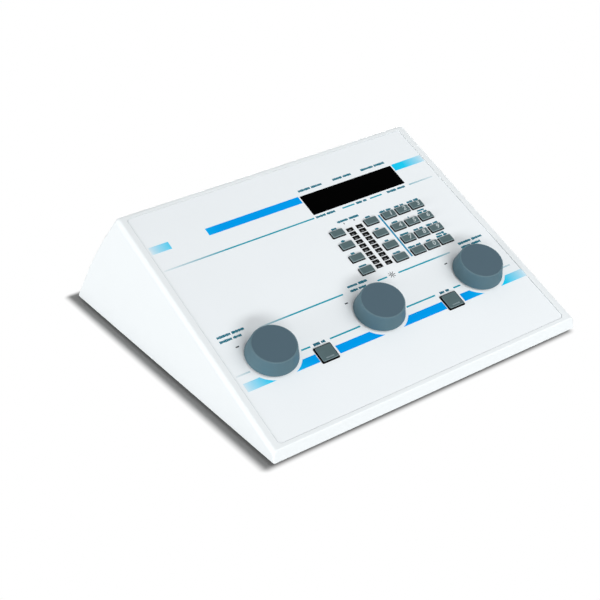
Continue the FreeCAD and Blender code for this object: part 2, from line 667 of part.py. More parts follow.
# ---------------------------------------------------------------- panel
def panel_sheet(low, high):
    """The outline that overlay and plate share, with all the openings that pass through both."""
    gap = 2 * PANEL_GAP
    sheet = shifted(slab(RECESS_WIDTH - gap, RECESS_LENGTH - gap, RECESS_RADIUS - PANEL_GAP, low, high),
                    0, RECESS_V)

    def hole(width, length, radius):
        return slab(width, length, radius, low - 1, high + 1)

    key_hole = hole(KEY_WIDTH + 2 * KEY_CLEARANCE, KEY_LENGTH + 2 * KEY_CLEARANCE, KEY_CORNER)
    lamp_gap = 2 * LAMP_FIT - 2 * LAMP_FRAME_STEP
    lamp_hole = hole(LAMP_FRAME_WIDTH + lamp_gap, LAMP_FRAME_LENGTH + lamp_gap, LAMP_NECK_CORNER)
    sleeve = 2 * (BUTTON_CLEARANCE + BEZEL_WALL + BEZEL_FIT)
    button_hole = hole(BUTTON_WIDTH + sleeve, BUTTON_LENGTH + sleeve, BUTTON_CORNER)
    shaft_hole = rod(BUSHING_RADIUS + BUSHING_FIT, low - 1, high + 1)
    window_hole = hole(DISPLAY_WIDTH + 2 * DISPLAY_FIT, DISPLAY_LENGTH + 2 * DISPLAY_FIT, DISPLAY_CORNER)
    cuts = [shifted(key_hole, x, v) for x, v in key_places().values()]
    cuts += [shifted(lamp_hole, x, v) for x, v in lamp_places()]
    cuts += [shifted(button_hole, x, v) for x, v in button_places().values()]
    cuts += [shifted(shaft_hole, x, v) for x, v in knob_places().values()]
    cuts.append(shifted(window_hole, DISPLAY_X, DISPLAY_V))
    return sheet.cut(cuts)


def panel_overlay():
    return placed(panel_sheet(H_PLATE, H_SHEET), PANEL_FRAME)


def panel_plate():
    plate = panel_sheet(H_LEDGE, H_PLATE)
    thread = rod(SCREW_RADIUS + SCREW_PILOT_FIT, H_LEDGE - 1, H_LEDGE + PLATE_THREAD_DEPTH)
    holes = [shifted(thread, x, v) for x, v in ledge_screw_places() + panel_spacers()]
    return placed(plate.cut(holes), PANEL_FRAME)


def display_window():
    back = H_LEDGE - DISPLAY_FLANGE_THICKNESS
    window = slab(DISPLAY_WIDTH, DISPLAY_LENGTH, DISPLAY_CORNER, back, H_SHEET)
    flange = slab(DISPLAY_WIDTH + 2 * DISPLAY_FLANGE, DISPLAY_LENGTH + 2 * DISPLAY_FLANGE, DISPLAY_CORNER,
                  back, H_LEDGE)
    return placed(shifted(window.fuse(flange), DISPLAY_X, DISPLAY_V), PANEL_FRAME)


def display_tube():
    front = H_LEDGE - DISPLAY_FLANGE_THICKNESS - TUBE_GAP
    tube = slab(TUBE_WIDTH, TUBE_LENGTH, DISPLAY_CORNER, H_BOARD, front)
    return placed(shifted(tube, DISPLAY_X, DISPLAY_V), PANEL_FRAME)


def leds():
    top = H_SHEET + LAMP_FRAME_RISE - LAMP_SINK
    lens = slab(LAMP_WIDTH, LAMP_LENGTH, LAMP_CORNER, H_BOARD, top)
    return [placed(shifted(lens, x, v), PANEL_FRAME) for x, v in lamp_places()]


def led_bezels():
    step = 2 * LAMP_FRAME_STEP
    top = H_SHEET + LAMP_FRAME_RISE
    rim = slab(LAMP_FRAME_WIDTH, LAMP_FRAME_LENGTH, LAMP_FRAME_CORNER, H_SHEET, top)
    rim = rim.makeFillet(LAMP_FRAME_EDGE, edges_at(rim, top))
    neck = slab(LAMP_FRAME_WIDTH - step, LAMP_FRAME_LENGTH - step, LAMP_NECK_CORNER, H_LEDGE, H_SHEET)
    slot = slab(LAMP_WIDTH + 2 * LAMP_FIT, LAMP_LENGTH + 2 * LAMP_FIT, LAMP_CORNER, H_LEDGE - 1, 1)
    frame = rim.fuse(neck).cut(slot)
    return [placed(shifted(frame, x, v), PANEL_FRAME) for x, v in lamp_places()]


# ---------------------------------------------------------------- keys and buttons
def sprung_cap(width, length, corner, flange_width, flange_length, flange_back, stem_radius, stem_end, crown):
    """Cap body from its flange up to the sheet, with the tapered crown on top and the stem below."""
    flange = slab(flange_width, flange_length, corner, flange_back, H_KEY_FLANGE)
    neck = slab(width, length, corner, H_KEY_FLANGE, H_SHEET)
    stem = rod(stem_radius, stem_end, flange_back)
    return flange.fuse([neck, stem, crown]).removeSplitter()


def narrowing(width, length, corner, step, top_corner, low, high):
    """Plate with round corners whose top is smaller by a step on each side."""
    return Part.makeLoft([rounded_outline(width, length, corner, low),
                          rounded_outline(width - 2 * step, length - 2 * step, top_corner, high)], True, True)


def small_key():
    """A key with a bevel round its face."""
    taper = 2 * KEY_TAPER
    top = H_SHEET + KEY_RISE
    shoulder = top - KEY_BEVEL_RISE
    flank = narrowing(KEY_WIDTH, KEY_LENGTH, KEY_CORNER, KEY_TAPER, KEY_SHOULDER_CORNER, H_SHEET, shoulder)
    bevel = narrowing(KEY_WIDTH - taper, KEY_LENGTH - taper, KEY_SHOULDER_CORNER, KEY_BEVEL, KEY_FACE_CORNER,
                      shoulder, top)
    crown = flank.fuse(bevel)
    return sprung_cap(KEY_WIDTH, KEY_LENGTH, KEY_CORNER, KEY_WIDTH,
                      KEY_LENGTH + 2 * (KEY_CLEARANCE + KEY_FLANGE_OVERLAP), H_KEY_FLANGE_BACK,
                      KEY_STEM_RADIUS, H_KEY_SWITCH - KEY_STEM_REACH, crown)


def square_button():
    top = H_SHEET + BUTTON_RISE
    crown = narrowing(BUTTON_WIDTH, BUTTON_LENGTH, BUTTON_CORNER, BUTTON_TAPER, BUTTON_CORNER, H_SHEET, top)
    crown = crown.makeFillet(BUTTON_EDGE, edges_at(crown, top))
    spread = 2 * (BUTTON_CLEARANCE + BUTTON_FLANGE_OVERLAP)
    return sprung_cap(BUTTON_WIDTH, BUTTON_LENGTH, BUTTON_CORNER, BUTTON_WIDTH + spread,
                      BUTTON_LENGTH + spread, H_BUTTON_FLANGE_BACK, BUTTON_STEM_RADIUS,
                      H_BUTTON_SWITCH - BUTTON_STEM_REACH, crown)


def switch_body(side, top, stem_radius, reach, travel):
    body = block(side, side, H_BOARD, top)
    return body.cut(rod(stem_radius + STEM_FIT, top - reach - travel - STEM_END_ROOM, top + 1))


def key_switches():
    one = switch_body(KEY_SWITCH_SIDE, H_KEY_SWITCH, KEY_STEM_RADIUS, KEY_STEM_REACH, KEY_TRAVEL)
    return [placed(shifted(one, x, v), PANEL_FRAME) for x, v in key_places().values()]


def button_switches():
    one = switch_body(BUTTON_SWITCH_SIDE, H_BUTTON_SWITCH, BUTTON_STEM_RADIUS, BUTTON_STEM_REACH,
                      BUTTON_TRAVEL)
    return [placed(shifted(one, x, v), PANEL_FRAME) for x, v in button_places().values()]


def button_bezels():
    room = 2 * BUTTON_CLEARANCE
    wall = room + 2 * BEZEL_WALL
    flange = wall + 2 * BEZEL_FLANGE
    top = H_SHEET + BEZEL_RISE
    rim = slab(BUTTON_WIDTH + flange, BUTTON_LENGTH + flange, BUTTON_CORNER, H_SHEET, top)
    sleeve = slab(BUTTON_WIDTH + wall, BUTTON_LENGTH + wall, BUTTON_CORNER, H_LEDGE, H_SHEET)
    hole = slab(BUTTON_WIDTH + room, BUTTON_LENGTH + room, BUTTON_CORNER, H_LEDGE - 1, 1)
    frame = rim.fuse(sleeve).cut(hole)
    return [placed(shifted(frame, x, v), PANEL_FRAME) for x, v in button_places().values()]


# ---------------------------------------------------------------- knobs and encoders
def knob():
    low, high = H_SHEET + KNOB_GAP, H_SHEET + KNOB_RISE
    body = Part.makeCone(KNOB_BOTTOM_RADIUS, KNOB_TOP_RADIUS, high - low, Vector(0, 0, low))
    body = body.makeFillet(KNOB_EDGE, edges_at(body, high))
    room_high = high - KNOB_TOP_THICKNESS
    taper = (KNOB_BOTTOM_RADIUS - KNOB_TOP_RADIUS) / (high - low)
    room_top_radius = KNOB_BOTTOM_RADIUS - KNOB_WALL - taper * (room_high - low)
    room = Part.makeCone(KNOB_BOTTOM_RADIUS - KNOB_WALL, room_top_radius, room_high - low, Vector(0, 0, low))
    hub_low = H_SHEET + BUSHING_RISE + HUB_GAP
    hub = rod(HUB_RADIUS, hub_low, room_high + 1)
    bore = rod(SHAFT_RADIUS + SHAFT_HUB_FIT, low, room_high)
    seat = rod(KNOB_CAP_RADIUS + KNOB_CAP_FIT, high - KNOB_CAP_THICKNESS, high + 1)
    return body.cut(room).fuse(hub).cut([bore, seat])


def knob_cap():
    high = H_SHEET + KNOB_RISE
    return rod(KNOB_CAP_RADIUS, high - KNOB_CAP_THICKNESS, high)


def encoder_shaft():
    low = H_BOARD + ENCODER_FLOOR + SHAFT_END_ROOM
    return rod(SHAFT_RADIUS, low, H_SHEET + KNOB_RISE - KNOB_TOP_THICKNESS)


def encoder_bodies():
    body = block(ENCODER_SIDE, ENCODER_SIDE, H_BOARD, H_LEDGE)
    bushing = rod(BUSHING_RADIUS, H_LEDGE - 1, H_SHEET + BUSHING_RISE)
    bore = rod(SHAFT_RADIUS + SHAFT_BORE_FIT, H_BOARD + ENCODER_FLOOR, H_SHEET + BUSHING_RISE + 1)
    one = body.fuse(bushing).cut(bore)
    return [placed(shifted(one, x, v), PANEL_FRAME) for x, v in knob_places().values()]


def encoder_nuts():
    one = nut(ENCODER_NUT_ACROSS, BUSHING_RADIUS + NUT_FIT, H_SHEET, H_SHEET + ENCODER_NUT_THICKNESS)
    return [placed(shifted(one, x, v), PANEL_FRAME) for x, v in knob_places().values()]


# ---------------------------------------------------------------- circuit boards and what joins them
def drilled_board(width, length, x, y, low, holes):
    board = shifted(slab(width, length, BOARD_CORNER, low, low + BOARD_THICKNESS), x, y)
    drill = rod(SCREW_RADIUS + SCREW_PASS_FIT, low - 1, low + BOARD_THICKNESS + 1)
    return board.cut([shifted(drill, hx, hy) for hx, hy in holes])


def key_board():
    board = drilled_board(KEY_BOARD_WIDTH, KEY_BOARD_LENGTH, KEY_BOARD_X, KEY_FIELD_V, H_BOARD_BACK,
                          key_spacers())
    return placed(board, PANEL_FRAME)


def display_board():
    board = drilled_board(DISPLAY_BOARD_WIDTH, DISPLAY_BOARD_LENGTH, DISPLAY_X, DISPLAY_V, H_BOARD_BACK,
                          display_spacers())
    return placed(board, PANEL_FRAME)


def control_board():
    board = drilled_board(CONTROL_BOARD_WIDTH, CONTROL_BOARD_LENGTH, 0, CONTROL_BOARD_V, H_BOARD_BACK,
                          control_spacers())
    return placed(board, PANEL_FRAME)


def main_board():
    return drilled_board(MAIN_BOARD_WIDTH, MAIN_BOARD_LENGTH, 0, main_board_y(), Z_MAIN_BOARD, main_spacers())


def board_spacers():
    hole = rod(SCREW_RADIUS + SCREW_PASS_FIT, -1, SPACER_LENGTH + 1)
    one = rod(SPACER_RADIUS, 0, SPACER_LENGTH).cut(hole)
    spacers = [placed(shifted(one, x, v, H_BOARD), PANEL_FRAME) for x, v in panel_spacers()]
    return spacers + [shifted(one, x, y, Z_BASE_TOP) for x, y in main_spacers()]


def board_screws():
    one = screw(BOARD_SCREW_LENGTH)
    screws = [placed(shifted(flipped(one), x, v, H_BOARD_BACK), PANEL_FRAME) for x, v in panel_spacers()]
    return screws + [shifted(one, x, y, Z_MAIN_BOARD_TOP) for x, y in main_spacers()]


def headers():
    upper = block(HEADER_WIDTH, HEADER_DEPTH, H_BOARD_BACK - HEADER_HEIGHT, H_BOARD_BACK)
    upper = placed(shifted(upper, KEY_BOARD_X, KEY_FIELD_V + HEADER_V_OFFSET), PANEL_FRAME)
    lower = block(HEADER_WIDTH, HEADER_DEPTH, Z_MAIN_BOARD_TOP, Z_MAIN_BOARD_TOP + HEADER_HEIGHT)
    return [upper, shifted(lower, KEY_BOARD_X, main_header_y())]


def ribbon_cable():
    """Flat cable: square out of the upper header, one bend to upright, straight down into the lower one."""
    cy, cz = ribbon_bend()
    end_z = Z_MAIN_BOARD_TOP + HEADER_HEIGHT

    def point(y, z):
        return Vector(KEY_BOARD_X - RIBBON_WIDTH / 2, y, z)

    def on_bend(radius, angle):
        return point(cy + radius * math.cos(angle), cz + radius * math.sin(angle))

    def side(radius):
        bend_start = on_bend(radius, SLOPE)
        start = bend_start + Vector(0, -math.sin(SLOPE), math.cos(SLOPE)) * RIBBON_STRAIGHT
        bend_end = on_bend(radius, 0)
        end = point(cy + radius, end_z)
        edges = [Part.LineSegment(start, bend_start).toShape(),
                 Part.Arc(bend_start, on_bend(radius, SLOPE / 2), bend_end).toShape(),
                 Part.LineSegment(bend_end, end).toShape()]
        return start, end, edges

    start_a, end_a, outer = side(RIBBON_BEND_RADIUS + RIBBON_THICKNESS / 2)
    start_b, end_b, inner = side(RIBBON_BEND_RADIUS - RIBBON_THICKNESS / 2)
    ends = [Part.LineSegment(start_a, start_b).toShape(), Part.LineSegment(end_a, end_b).toShape()]
    outline = Part.Wire(Part.__sortEdges__(outer + inner + ends))
    return Part.Face(outline).extrude(Vector(RIBBON_WIDTH, 0, 0))


def board_parts():
    low = Z_MAIN_BOARD_TOP
    middle = main_board_y()
    back_row = middle + MAIN_BOARD_LENGTH / 2 - PART_FIELD_BACK_INSET
    chip = block(CHIP_WIDTH, CHIP_LENGTH, low, low + CHIP_HEIGHT)
    parts = headers()
    for row in range(CHIP_ROWS):
        y = middle + (row - (CHIP_ROWS - 1) / 2) * CHIP_ROW_PITCH
        for i in range(CHIPS_IN_ROW):
            parts.append(shifted(chip, CHIP_FIELD_X + (i - (CHIPS_IN_ROW - 1) / 2) * CHIP_PITCH, y))
    processor = slab(PROCESSOR_SIDE, PROCESSOR_SIDE, PROCESSOR_CORNER, low, low + PROCESSOR_HEIGHT)
    parts.append(shifted(processor, PROCESSOR_X, middle))
    can = rod(CAPACITOR_RADIUS, low, low + CAPACITOR_HEIGHT)
    can = can.makeFillet(CAPACITOR_EDGE, edges_at(can, low + CAPACITOR_HEIGHT))
    for i in range(CAPACITORS):
        parts.append(shifted(can, CAPACITOR_FIELD_X + (i - (CAPACITORS - 1) / 2) * CAPACITOR_PITCH, back_row))
    parts.append(shifted(heat_sink(), HEAT_SINK_X, back_row))
    return parts


def heat_sink():
    low = Z_MAIN_BOARD_TOP
    high = low + HEAT_SINK_HEIGHT
    back = Part.makeBox(HEAT_SINK_WIDTH, HEAT_SINK_BASE, high - low,
                        Vector(-HEAT_SINK_WIDTH / 2, -HEAT_SINK_DEPTH / 2, low))
    step = (HEAT_SINK_WIDTH - HEAT_SINK_FIN) / (HEAT_SINK_FINS - 1)
    fins = [Part.makeBox(HEAT_SINK_FIN, HEAT_SINK_DEPTH, high - low,
                         Vector(-HEAT_SINK_WIDTH / 2 + i * step, -HEAT_SINK_DEPTH / 2, low))
            for i in range(HEAT_SINK_FINS)]
    return back.fuse(fins).removeSplitter()


# ---------------------------------------------------------------- rear connectors
def connector_plate():
    gap = 2 * REAR_GAP
    low, high = REAR_FLOOR, REAR_PLATE_FACE
    plate = slab(REAR_WIDTH - gap, REAR_LENGTH - gap, REAR_CORNER - REAR_GAP, low, high)
    plate = shifted(plate, 0, REAR_MIDDLE)
    jack_hole = rod(JACK_BUSHING_RADIUS + JACK_HOLE_FIT, low - 1, high + 1)
    screw_hole = rod(SCREW_RADIUS + SCREW_PASS_FIT, low - 1, high + 1)
    cuts = [shifted(jack_hole, x, v) for x, v in jack_places()]
    cuts += [shifted(screw_hole, x, v) for x, v in rear_screw_places()]
    cuts.append(shifted(rod(INLET_RADIUS + JACK_HOLE_FIT, low - 1, high + 1), INLET_X, REAR_MIDDLE))
    switch_hole = block(SWITCH_WIDTH + 2 * SWITCH_HOLE_FIT, SWITCH_LENGTH + 2 * SWITCH_HOLE_FIT,
                        low - 1, high + 1)
    cuts.append(shifted(switch_hole, SWITCH_X, REAR_MIDDLE))
    return placed(plate.cut(cuts), REAR_FRAME)


def jack_sockets():
    mouth = REAR_PLATE_FACE + JACK_BUSHING_RISE
    bore_end = mouth - JACK_BORE_DEPTH
    body = block(JACK_BODY_WIDTH, JACK_BODY_LENGTH, bore_end - JACK_FLOOR, REAR_FLOOR)
    bushing = rod(JACK_BUSHING_RADIUS, REAR_FLOOR - 1, mouth)
    one = body.fuse(bushing).cut(rod(JACK_BORE_RADIUS, bore_end, mouth + 1))
    return [placed(shifted(one, x, v), REAR_FRAME) for x, v in jack_places()]


def jack_nuts():
    one = nut(JACK_NUT_ACROSS, JACK_BUSHING_RADIUS + NUT_FIT, REAR_PLATE_FACE,
              REAR_PLATE_FACE + JACK_NUT_THICKNESS)
    return [placed(shifted(one, x, v), REAR_FRAME) for x, v in jack_places()]


def dc_inlet():
    mouth = REAR_PLATE_FACE + INLET_FLANGE_THICKNESS
    bore_end = mouth - INLET_DEPTH
    barrel = rod(INLET_RADIUS, bore_end - INLET_FLOOR, mouth)
    flange = rod(INLET_FLANGE_RADIUS, REAR_PLATE_FACE, mouth)
    bore = rod(INLET_BORE_RADIUS, bore_end, mouth + 1)
    pin = rod(INLET_PIN_RADIUS, bore_end - 1, mouth - 1)
    inlet = barrel.fuse(flange).cut(bore).fuse(pin)
    return placed(shifted(inlet, INLET_X, REAR_MIDDLE), REAR_FRAME)


def rocker_pocket():
    """Half width and depth of the pocket that clears the rocker in both tilted positions."""
    tilt = math.radians(ROCKER_TILT)
    reach = ROCKER_WIDTH / 2 * math.cos(tilt) + ROCKER_END_RISE * math.sin(tilt)
    drop = ROCKER_BELLY * math.cos(tilt) + ROCKER_BELLY_WIDTH / 2 * math.sin(tilt)
    return reach + ROCKER_POCKET_WALL, drop + ROCKER_FLOOR_GAP


def rocker_pivot():
    """Height of the rocker's pivot in the rear frame."""
    return REAR_PLATE_FACE + SWITCH_FLANGE_THICKNESS - ROCKER_MIDDLE_RISE


def power_switch_body():
    top = REAR_PLATE_FACE + SWITCH_FLANGE_THICKNESS
    pivot = rocker_pivot()
    half, depth = rocker_pocket()
    body = block(SWITCH_WIDTH, SWITCH_LENGTH, REAR_FLOOR - SWITCH_BODY_DEPTH, REAR_PLATE_FACE)
    flange = slab(SWITCH_WIDTH + 2 * SWITCH_FLANGE, SWITCH_LENGTH + 2 * SWITCH_FLANGE, SWITCH_FLANGE,
                  REAR_PLATE_FACE, top)
    pocket = block(2 * half, ROCKER_LENGTH + 2 * ROCKER_SIDE_GAP, pivot - depth, top + 1)
    seat_length = ROCKER_LENGTH + 2 * (ROCKER_PIN_LENGTH + ROCKER_SIDE_GAP)
    pin_seat = Part.makeCylinder(ROCKER_PIN_RADIUS + ROCKER_PIN_FIT, seat_length,
                                 Vector(0, -seat_length / 2, pivot), Vector(0, 1, 0))
    switch = body.fuse(flange).cut([pocket, pin_seat])
    return placed(shifted(switch, SWITCH_X, REAR_MIDDLE), REAR_FRAME)


def power_rocker():
    """Rocker at rest in its off position, tilted down at its right end as seen from behind."""
    half, belly = ROCKER_WIDTH / 2, ROCKER_BELLY_WIDTH / 2
    outline = [(-half, -ROCKER_SKIRT), (-belly, -ROCKER_BELLY), (belly, -ROCKER_BELLY), (half, -ROCKER_SKIRT),
               (half, ROCKER_END_RISE), (0, ROCKER_MIDDLE_RISE), (-half, ROCKER_END_RISE),
               (-half, -ROCKER_SKIRT)]
    face = Part.Face(Part.makePolygon([Vector(x, -ROCKER_LENGTH / 2, z) for x, z in outline]))
    body = face.extrude(Vector(0, ROCKER_LENGTH, 0))
    pin_span = ROCKER_LENGTH + 2 * ROCKER_PIN_LENGTH
    pin = Part.makeCylinder(ROCKER_PIN_RADIUS, pin_span, Vector(0, -pin_span / 2, 0), Vector(0, 1, 0))
    rocker = body.fuse(pin)
    rocker.rotate(Vector(0, 0, 0), Vector(0, 1, 0), ROCKER_TILT)
    return placed(shifted(rocker, SWITCH_X, REAR_MIDDLE, rocker_pivot()), REAR_FRAME)


# ---------------------------------------------------------------- the whole part
def all_nodes():
    nodes = {
        "housing_shell": housing_shell(),
        "base_plate": base_plate(),
        "rubber_feet": rubber_feet(),
        "case_screws": case_screws(),
        "panel_plate": panel_plate(),
        "panel_overlay": panel_overlay(),
        "display_window": display_window(),
        "display_tube": display_tube(),
        "display_board": display_board(),
        "leds": leds(),
        "led_bezels": led_bezels(),
        "key_switches": key_switches(),
        "key_board": key_board(),
        "button_bezels": button_bezels(),
        "button_switches": button_switches(),
        "encoder_bodies": encoder_bodies(),
        "encoder_nuts": encoder_nuts(),
        "control_board": control_board(),
        "board_spacers": board_spacers(),
        "board_screws": board_screws(),
        "main_board": main_board(),
        "board_parts": board_parts(),
        "ribbon_cable": ribbon_cable(),
        "connector_plate": connector_plate(),
        "jack_sockets": jack_sockets(),
        "jack_nuts": jack_nuts(),
        "dc_inlet": dc_inlet(),
        "power_switch_body": power_switch_body(),
        "power_rocker": power_rocker(),
    }
    key = small_key()
    for name, (x, v) in key_places().items():
        nodes[name] = placed(shifted(key, x, v), PANEL_FRAME)
    button = square_button()
    for side, (x, v) in button_places().items():
        nodes["button_" + side] = placed(shifted(button, x, v), PANEL_FRAME)
    turning = {"knob_": knob(), "knob_cap_": knob_cap(), "encoder_shaft_": encoder_shaft()}
    for side, (x, v) in knob_places().items():
        for prefix, shape in turning.items():
            nodes[prefix + side] = placed(shifted(shape, x, v), PANEL_FRAME)
    return nodes


def main():
    os.makedirs("parts", exist_ok=True)
    for name, shape in all_nodes().items():
        solids = shape if isinstance(shape, list) else [shape]
        whole = Part.makeCompound(solids) if len(solids) > 1 else solids[0]
        if not whole.isValid():
            raise ValueError(name + " isn't a valid shape")
        if len(whole.Solids) != len(solids):
            raise ValueError(name + " has %d solids, not %d" % (len(whole.Solids), len(solids)))
        whole.exportStep("parts/" + name + ".step")


main()
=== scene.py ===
import json
import math

import bmesh
import bpy
import numpy as np
from mathutils import Matrix, Vector


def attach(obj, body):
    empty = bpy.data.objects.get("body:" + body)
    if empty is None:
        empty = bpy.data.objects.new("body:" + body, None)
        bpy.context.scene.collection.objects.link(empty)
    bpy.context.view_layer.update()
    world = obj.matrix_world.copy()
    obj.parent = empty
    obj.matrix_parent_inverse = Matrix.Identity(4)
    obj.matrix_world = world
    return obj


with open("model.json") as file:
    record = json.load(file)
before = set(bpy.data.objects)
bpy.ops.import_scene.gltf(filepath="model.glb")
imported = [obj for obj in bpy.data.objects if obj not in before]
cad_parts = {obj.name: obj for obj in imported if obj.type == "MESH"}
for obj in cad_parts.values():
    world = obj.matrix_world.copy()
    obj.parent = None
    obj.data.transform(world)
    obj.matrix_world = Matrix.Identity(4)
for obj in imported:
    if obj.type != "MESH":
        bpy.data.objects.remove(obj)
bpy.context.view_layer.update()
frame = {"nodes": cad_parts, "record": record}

# Places are in millimetres in a slope's own frame: x across it, v up it, h out of it.
MM = 0.001
HALF_WIDTH = 151.5
HALF_DEPTH = 183.25
LIP_HEIGHT = 13.5
PANEL_SLOPE = 26.55     # in degrees
BACK_FOOT = 3.0         # height at which the rear slope starts
BACK_SLOPE = 42.72
PANEL = (Matrix.Translation((0, -HALF_DEPTH * MM, LIP_HEIGHT * MM))
         @ Matrix.Rotation(math.radians(PANEL_SLOPE), 4, "X"))
REAR = (Matrix.Translation((0, HALF_DEPTH * MM, BACK_FOOT * MM)) @ Matrix.Rotation(math.pi, 4, "Z")
        @ Matrix.Rotation(math.radians(BACK_SLOPE), 4, "X"))
KNOB_SIDES = ("left", "middle", "right")
BUTTON_SIDES = ("left", "right")
LAMP_PITCH = 5.08
LAMP_ROWS = 10
INK = 0.05              # thickness of everything printed
WHITE = (1, 1, 1, 1)


# ---------------------------------------------------------------- places
def node_box(node, where=PANEL, only_top=False):
    """Lowest and highest corner of a CAD node in a slope's frame, or of its top face alone."""
    points = np.array([v.co for v in frame["nodes"][node].data.vertices])
    back = np.array(where.inverted())
    local = (points @ back[:3, :3].T + back[:3, 3]) / MM
    if only_top:
        local = local[local[:, 2] > local[:, 2].max() - 0.01]
    return local.min(0), local.max(0)


def middle(node, where=PANEL):
    """Middle x and v of a CAD node, and the h of its top."""
    low, high = node_box(node, where)
    return (low[0] + high[0]) / 2, (low[1] + high[1]) / 2, high[2]


SHEET_FACE = middle("panel_overlay")[2]
KNOB_TOP = middle("knob_left")[2]
KEY_TOP = middle("key_1")[2]


# ---------------------------------------------------------------- node trees, written as plain expressions
def operator(kind, turned=False):
    """An arithmetic operator of Wire. Turned, the wire is its second number."""
    def combine(self, other):
        return self.nodes.math(kind, *((other, self) if turned else (self, other)))
    return combine


class Wire:
    """A value inside a node tree. Plain arithmetic works on it."""

    def __init__(self, nodes, socket):
        self.nodes = nodes
        self.socket = socket

    __add__, __radd__ = operator("ADD"), operator("ADD", True)
    __sub__, __rsub__ = operator("SUBTRACT"), operator("SUBTRACT", True)
    __mul__, __rmul__ = operator("MULTIPLY"), operator("MULTIPLY", True)
    __truediv__, __rtruediv__ = operator("DIVIDE"), operator("DIVIDE", True)
    __pow__, __rpow__ = operator("POWER"), operator("POWER", True)


class Nodes:
    """The nodes of one material or of the world."""

    def __init__(self, holder):
        holder.use_nodes = True
        self.tree = holder.node_tree

    def feed(self, socket, value):
        if isinstance(value, Wire):
            self.tree.links.new(value.socket, socket)
        else:
            socket.default_value = value

    def add(self, kind, inputs=None, output=0, **settings):
        """A node, its settings first, then its inputs by name or number. Gives the wire of one output."""
        node = self.tree.nodes.new("ShaderNode" + kind)
        for name, value in settings.items():
            setattr(node, name, value)
        for key, value in (inputs or {}).items():
            self.feed(node.inputs[key], value)
        return Wire(self, node.outputs[output])

    def math(self, operation, *values):
        return self.add("Math", dict(enumerate(values)), operation=operation)

    def seen(self):
        """1 on rays that show a thing to the camera, straight or through gloss or glass, and 0 on others."""
        straight, gloss, glass = [self.add("LightPath", output="Is %s Ray" % kind)
                                  for kind in ("Camera", "Glossy", "Transmission")]
        return self.math("MAXIMUM", self.math("MAXIMUM", straight, gloss), glass)


class Paint(Nodes):
    """One material. Uniform values go straight onto the shader's own sockets."""

    def __init__(self, name, **uniform):
        self.material = bpy.data.materials.new(name)
        super().__init__(self.material)
        self.shader = self.tree.nodes["Principled BSDF"]
        for socket, value in uniform.items():
            self.set(socket.replace("_", " ").title().replace("Ior", "IOR"), value)

    def set(self, socket, value):
        self.feed(self.shader.inputs[socket], value)

    def place(self):
        return self.add("TexCoord", output="Object")

    def along(self, direction, origin=(0, 0, 0)):
        """Distance in millimetres along a direction, from an origin in metres."""
        offset = self.add("VectorMath", {0: self.place(), 1: tuple(origin)}, operation="SUBTRACT")
        metres = self.add("VectorMath", {0: offset, 1: tuple(direction)}, "Value", operation="DOT_PRODUCT")
        return metres / MM

    def panel_height(self):
        """Height above the panel's rim."""
        return self.along(PANEL.to_3x3() @ Vector((0, 0, 1)), PANEL.translation)

    def panel_rise(self):
        """Distance up the panel from its front edge."""
        return self.along(PANEL.to_3x3() @ Vector((0, 1, 0)), PANEL.translation)

    def step(self, value, start, end, smooth=True):
        """0 before start, 1 after end, and a smooth or straight way between them."""
        kind = "SMOOTHSTEP" if smooth else "LINEAR"
        return self.add("MapRange", {0: value, 1: start, 2: end}, interpolation_type=kind)

    def noise(self, size, detail=2.0, stretch=(1, 1, 1)):
        """Cloudy pattern with features of a size in millimetres."""
        spread = self.add("VectorMath", {0: self.place(), 1: tuple(stretch)}, operation="MULTIPLY")
        return self.add("TexNoise", {"Vector": spread, "Scale": 1 / (size * MM), "Detail": detail})

    def mix(self, share, first, second):
        """First colour where the share is 0, second one where it is 1."""
        return self.add("Mix", {0: share, 6: first, 7: second}, 2, data_type="RGBA")

    def bump(self, height, depth):
        """Normal of a relief, its depth in millimetres."""
        return self.add("Bump", {"Height": height, "Distance": depth * MM, "Strength": 1.0})


def colour(text):
    """Linear colour of a screen colour such as 5f7480."""
    parts = [int(text[i:i + 2], 16) / 255 for i in (0, 2, 4)]
    return tuple(c / 12.92 if c <= 0.04045 else ((c + 0.055) / 1.055) ** 2.4 for c in parts) + (1.0,)


def toned(shade, share):
    """A shade made darker or lighter."""
    return tuple(c * share for c in shade[:3]) + (1.0,)


# ---------------------------------------------------------------- the finishes
SHEET_SHADE = colour("f6fbfe")
CYAN = colour("1ed6ff")
AZURE = colour("00a4fa")
TEAL = colour("21a6bb")
PATCH_SIZE = 38.0       # of the faint patches in a colour
KNOB_PAINTED_HIGHLIGHT_HEIGHT = 0.7        # painted highlight: a knob's skirt is paler this far down from its top
PAINTED_FLANK_SHADE_DEPTH = 0.5       # painted shade: a key is near-black below this depth under its face
PAINTED_FLANK_SHADE_FADE = 0.15
PAINTED_BEVEL_HIGHLIGHT_DEPTH = 0.08      # of the painted highlight, paler than the face, round a key's face
SOFT_EDGE = 0.5         # between a lamp's grey half and the painted shade over its upper half


def worn(name, shade, roughness, grain=0.5, depth=0.01, patch=0.04, **uniform):
    """A surface with fine grain, faint patches in its colour and an uneven sheen."""
    paint = Paint(name, **uniform)
    cloud = paint.noise(PATCH_SIZE, 3.0)
    fine = paint.noise(grain)
    paint.ground = paint.mix(cloud, toned(shade, 1 - patch), toned(shade, 1 + patch / 2))
    paint.set("Base Color", paint.ground)
    paint.set("Roughness", roughness + 0.10 * (cloud - 0.5) + 0.06 * (fine - 0.5))
    paint.set("Normal", paint.bump(fine, depth))
    return paint


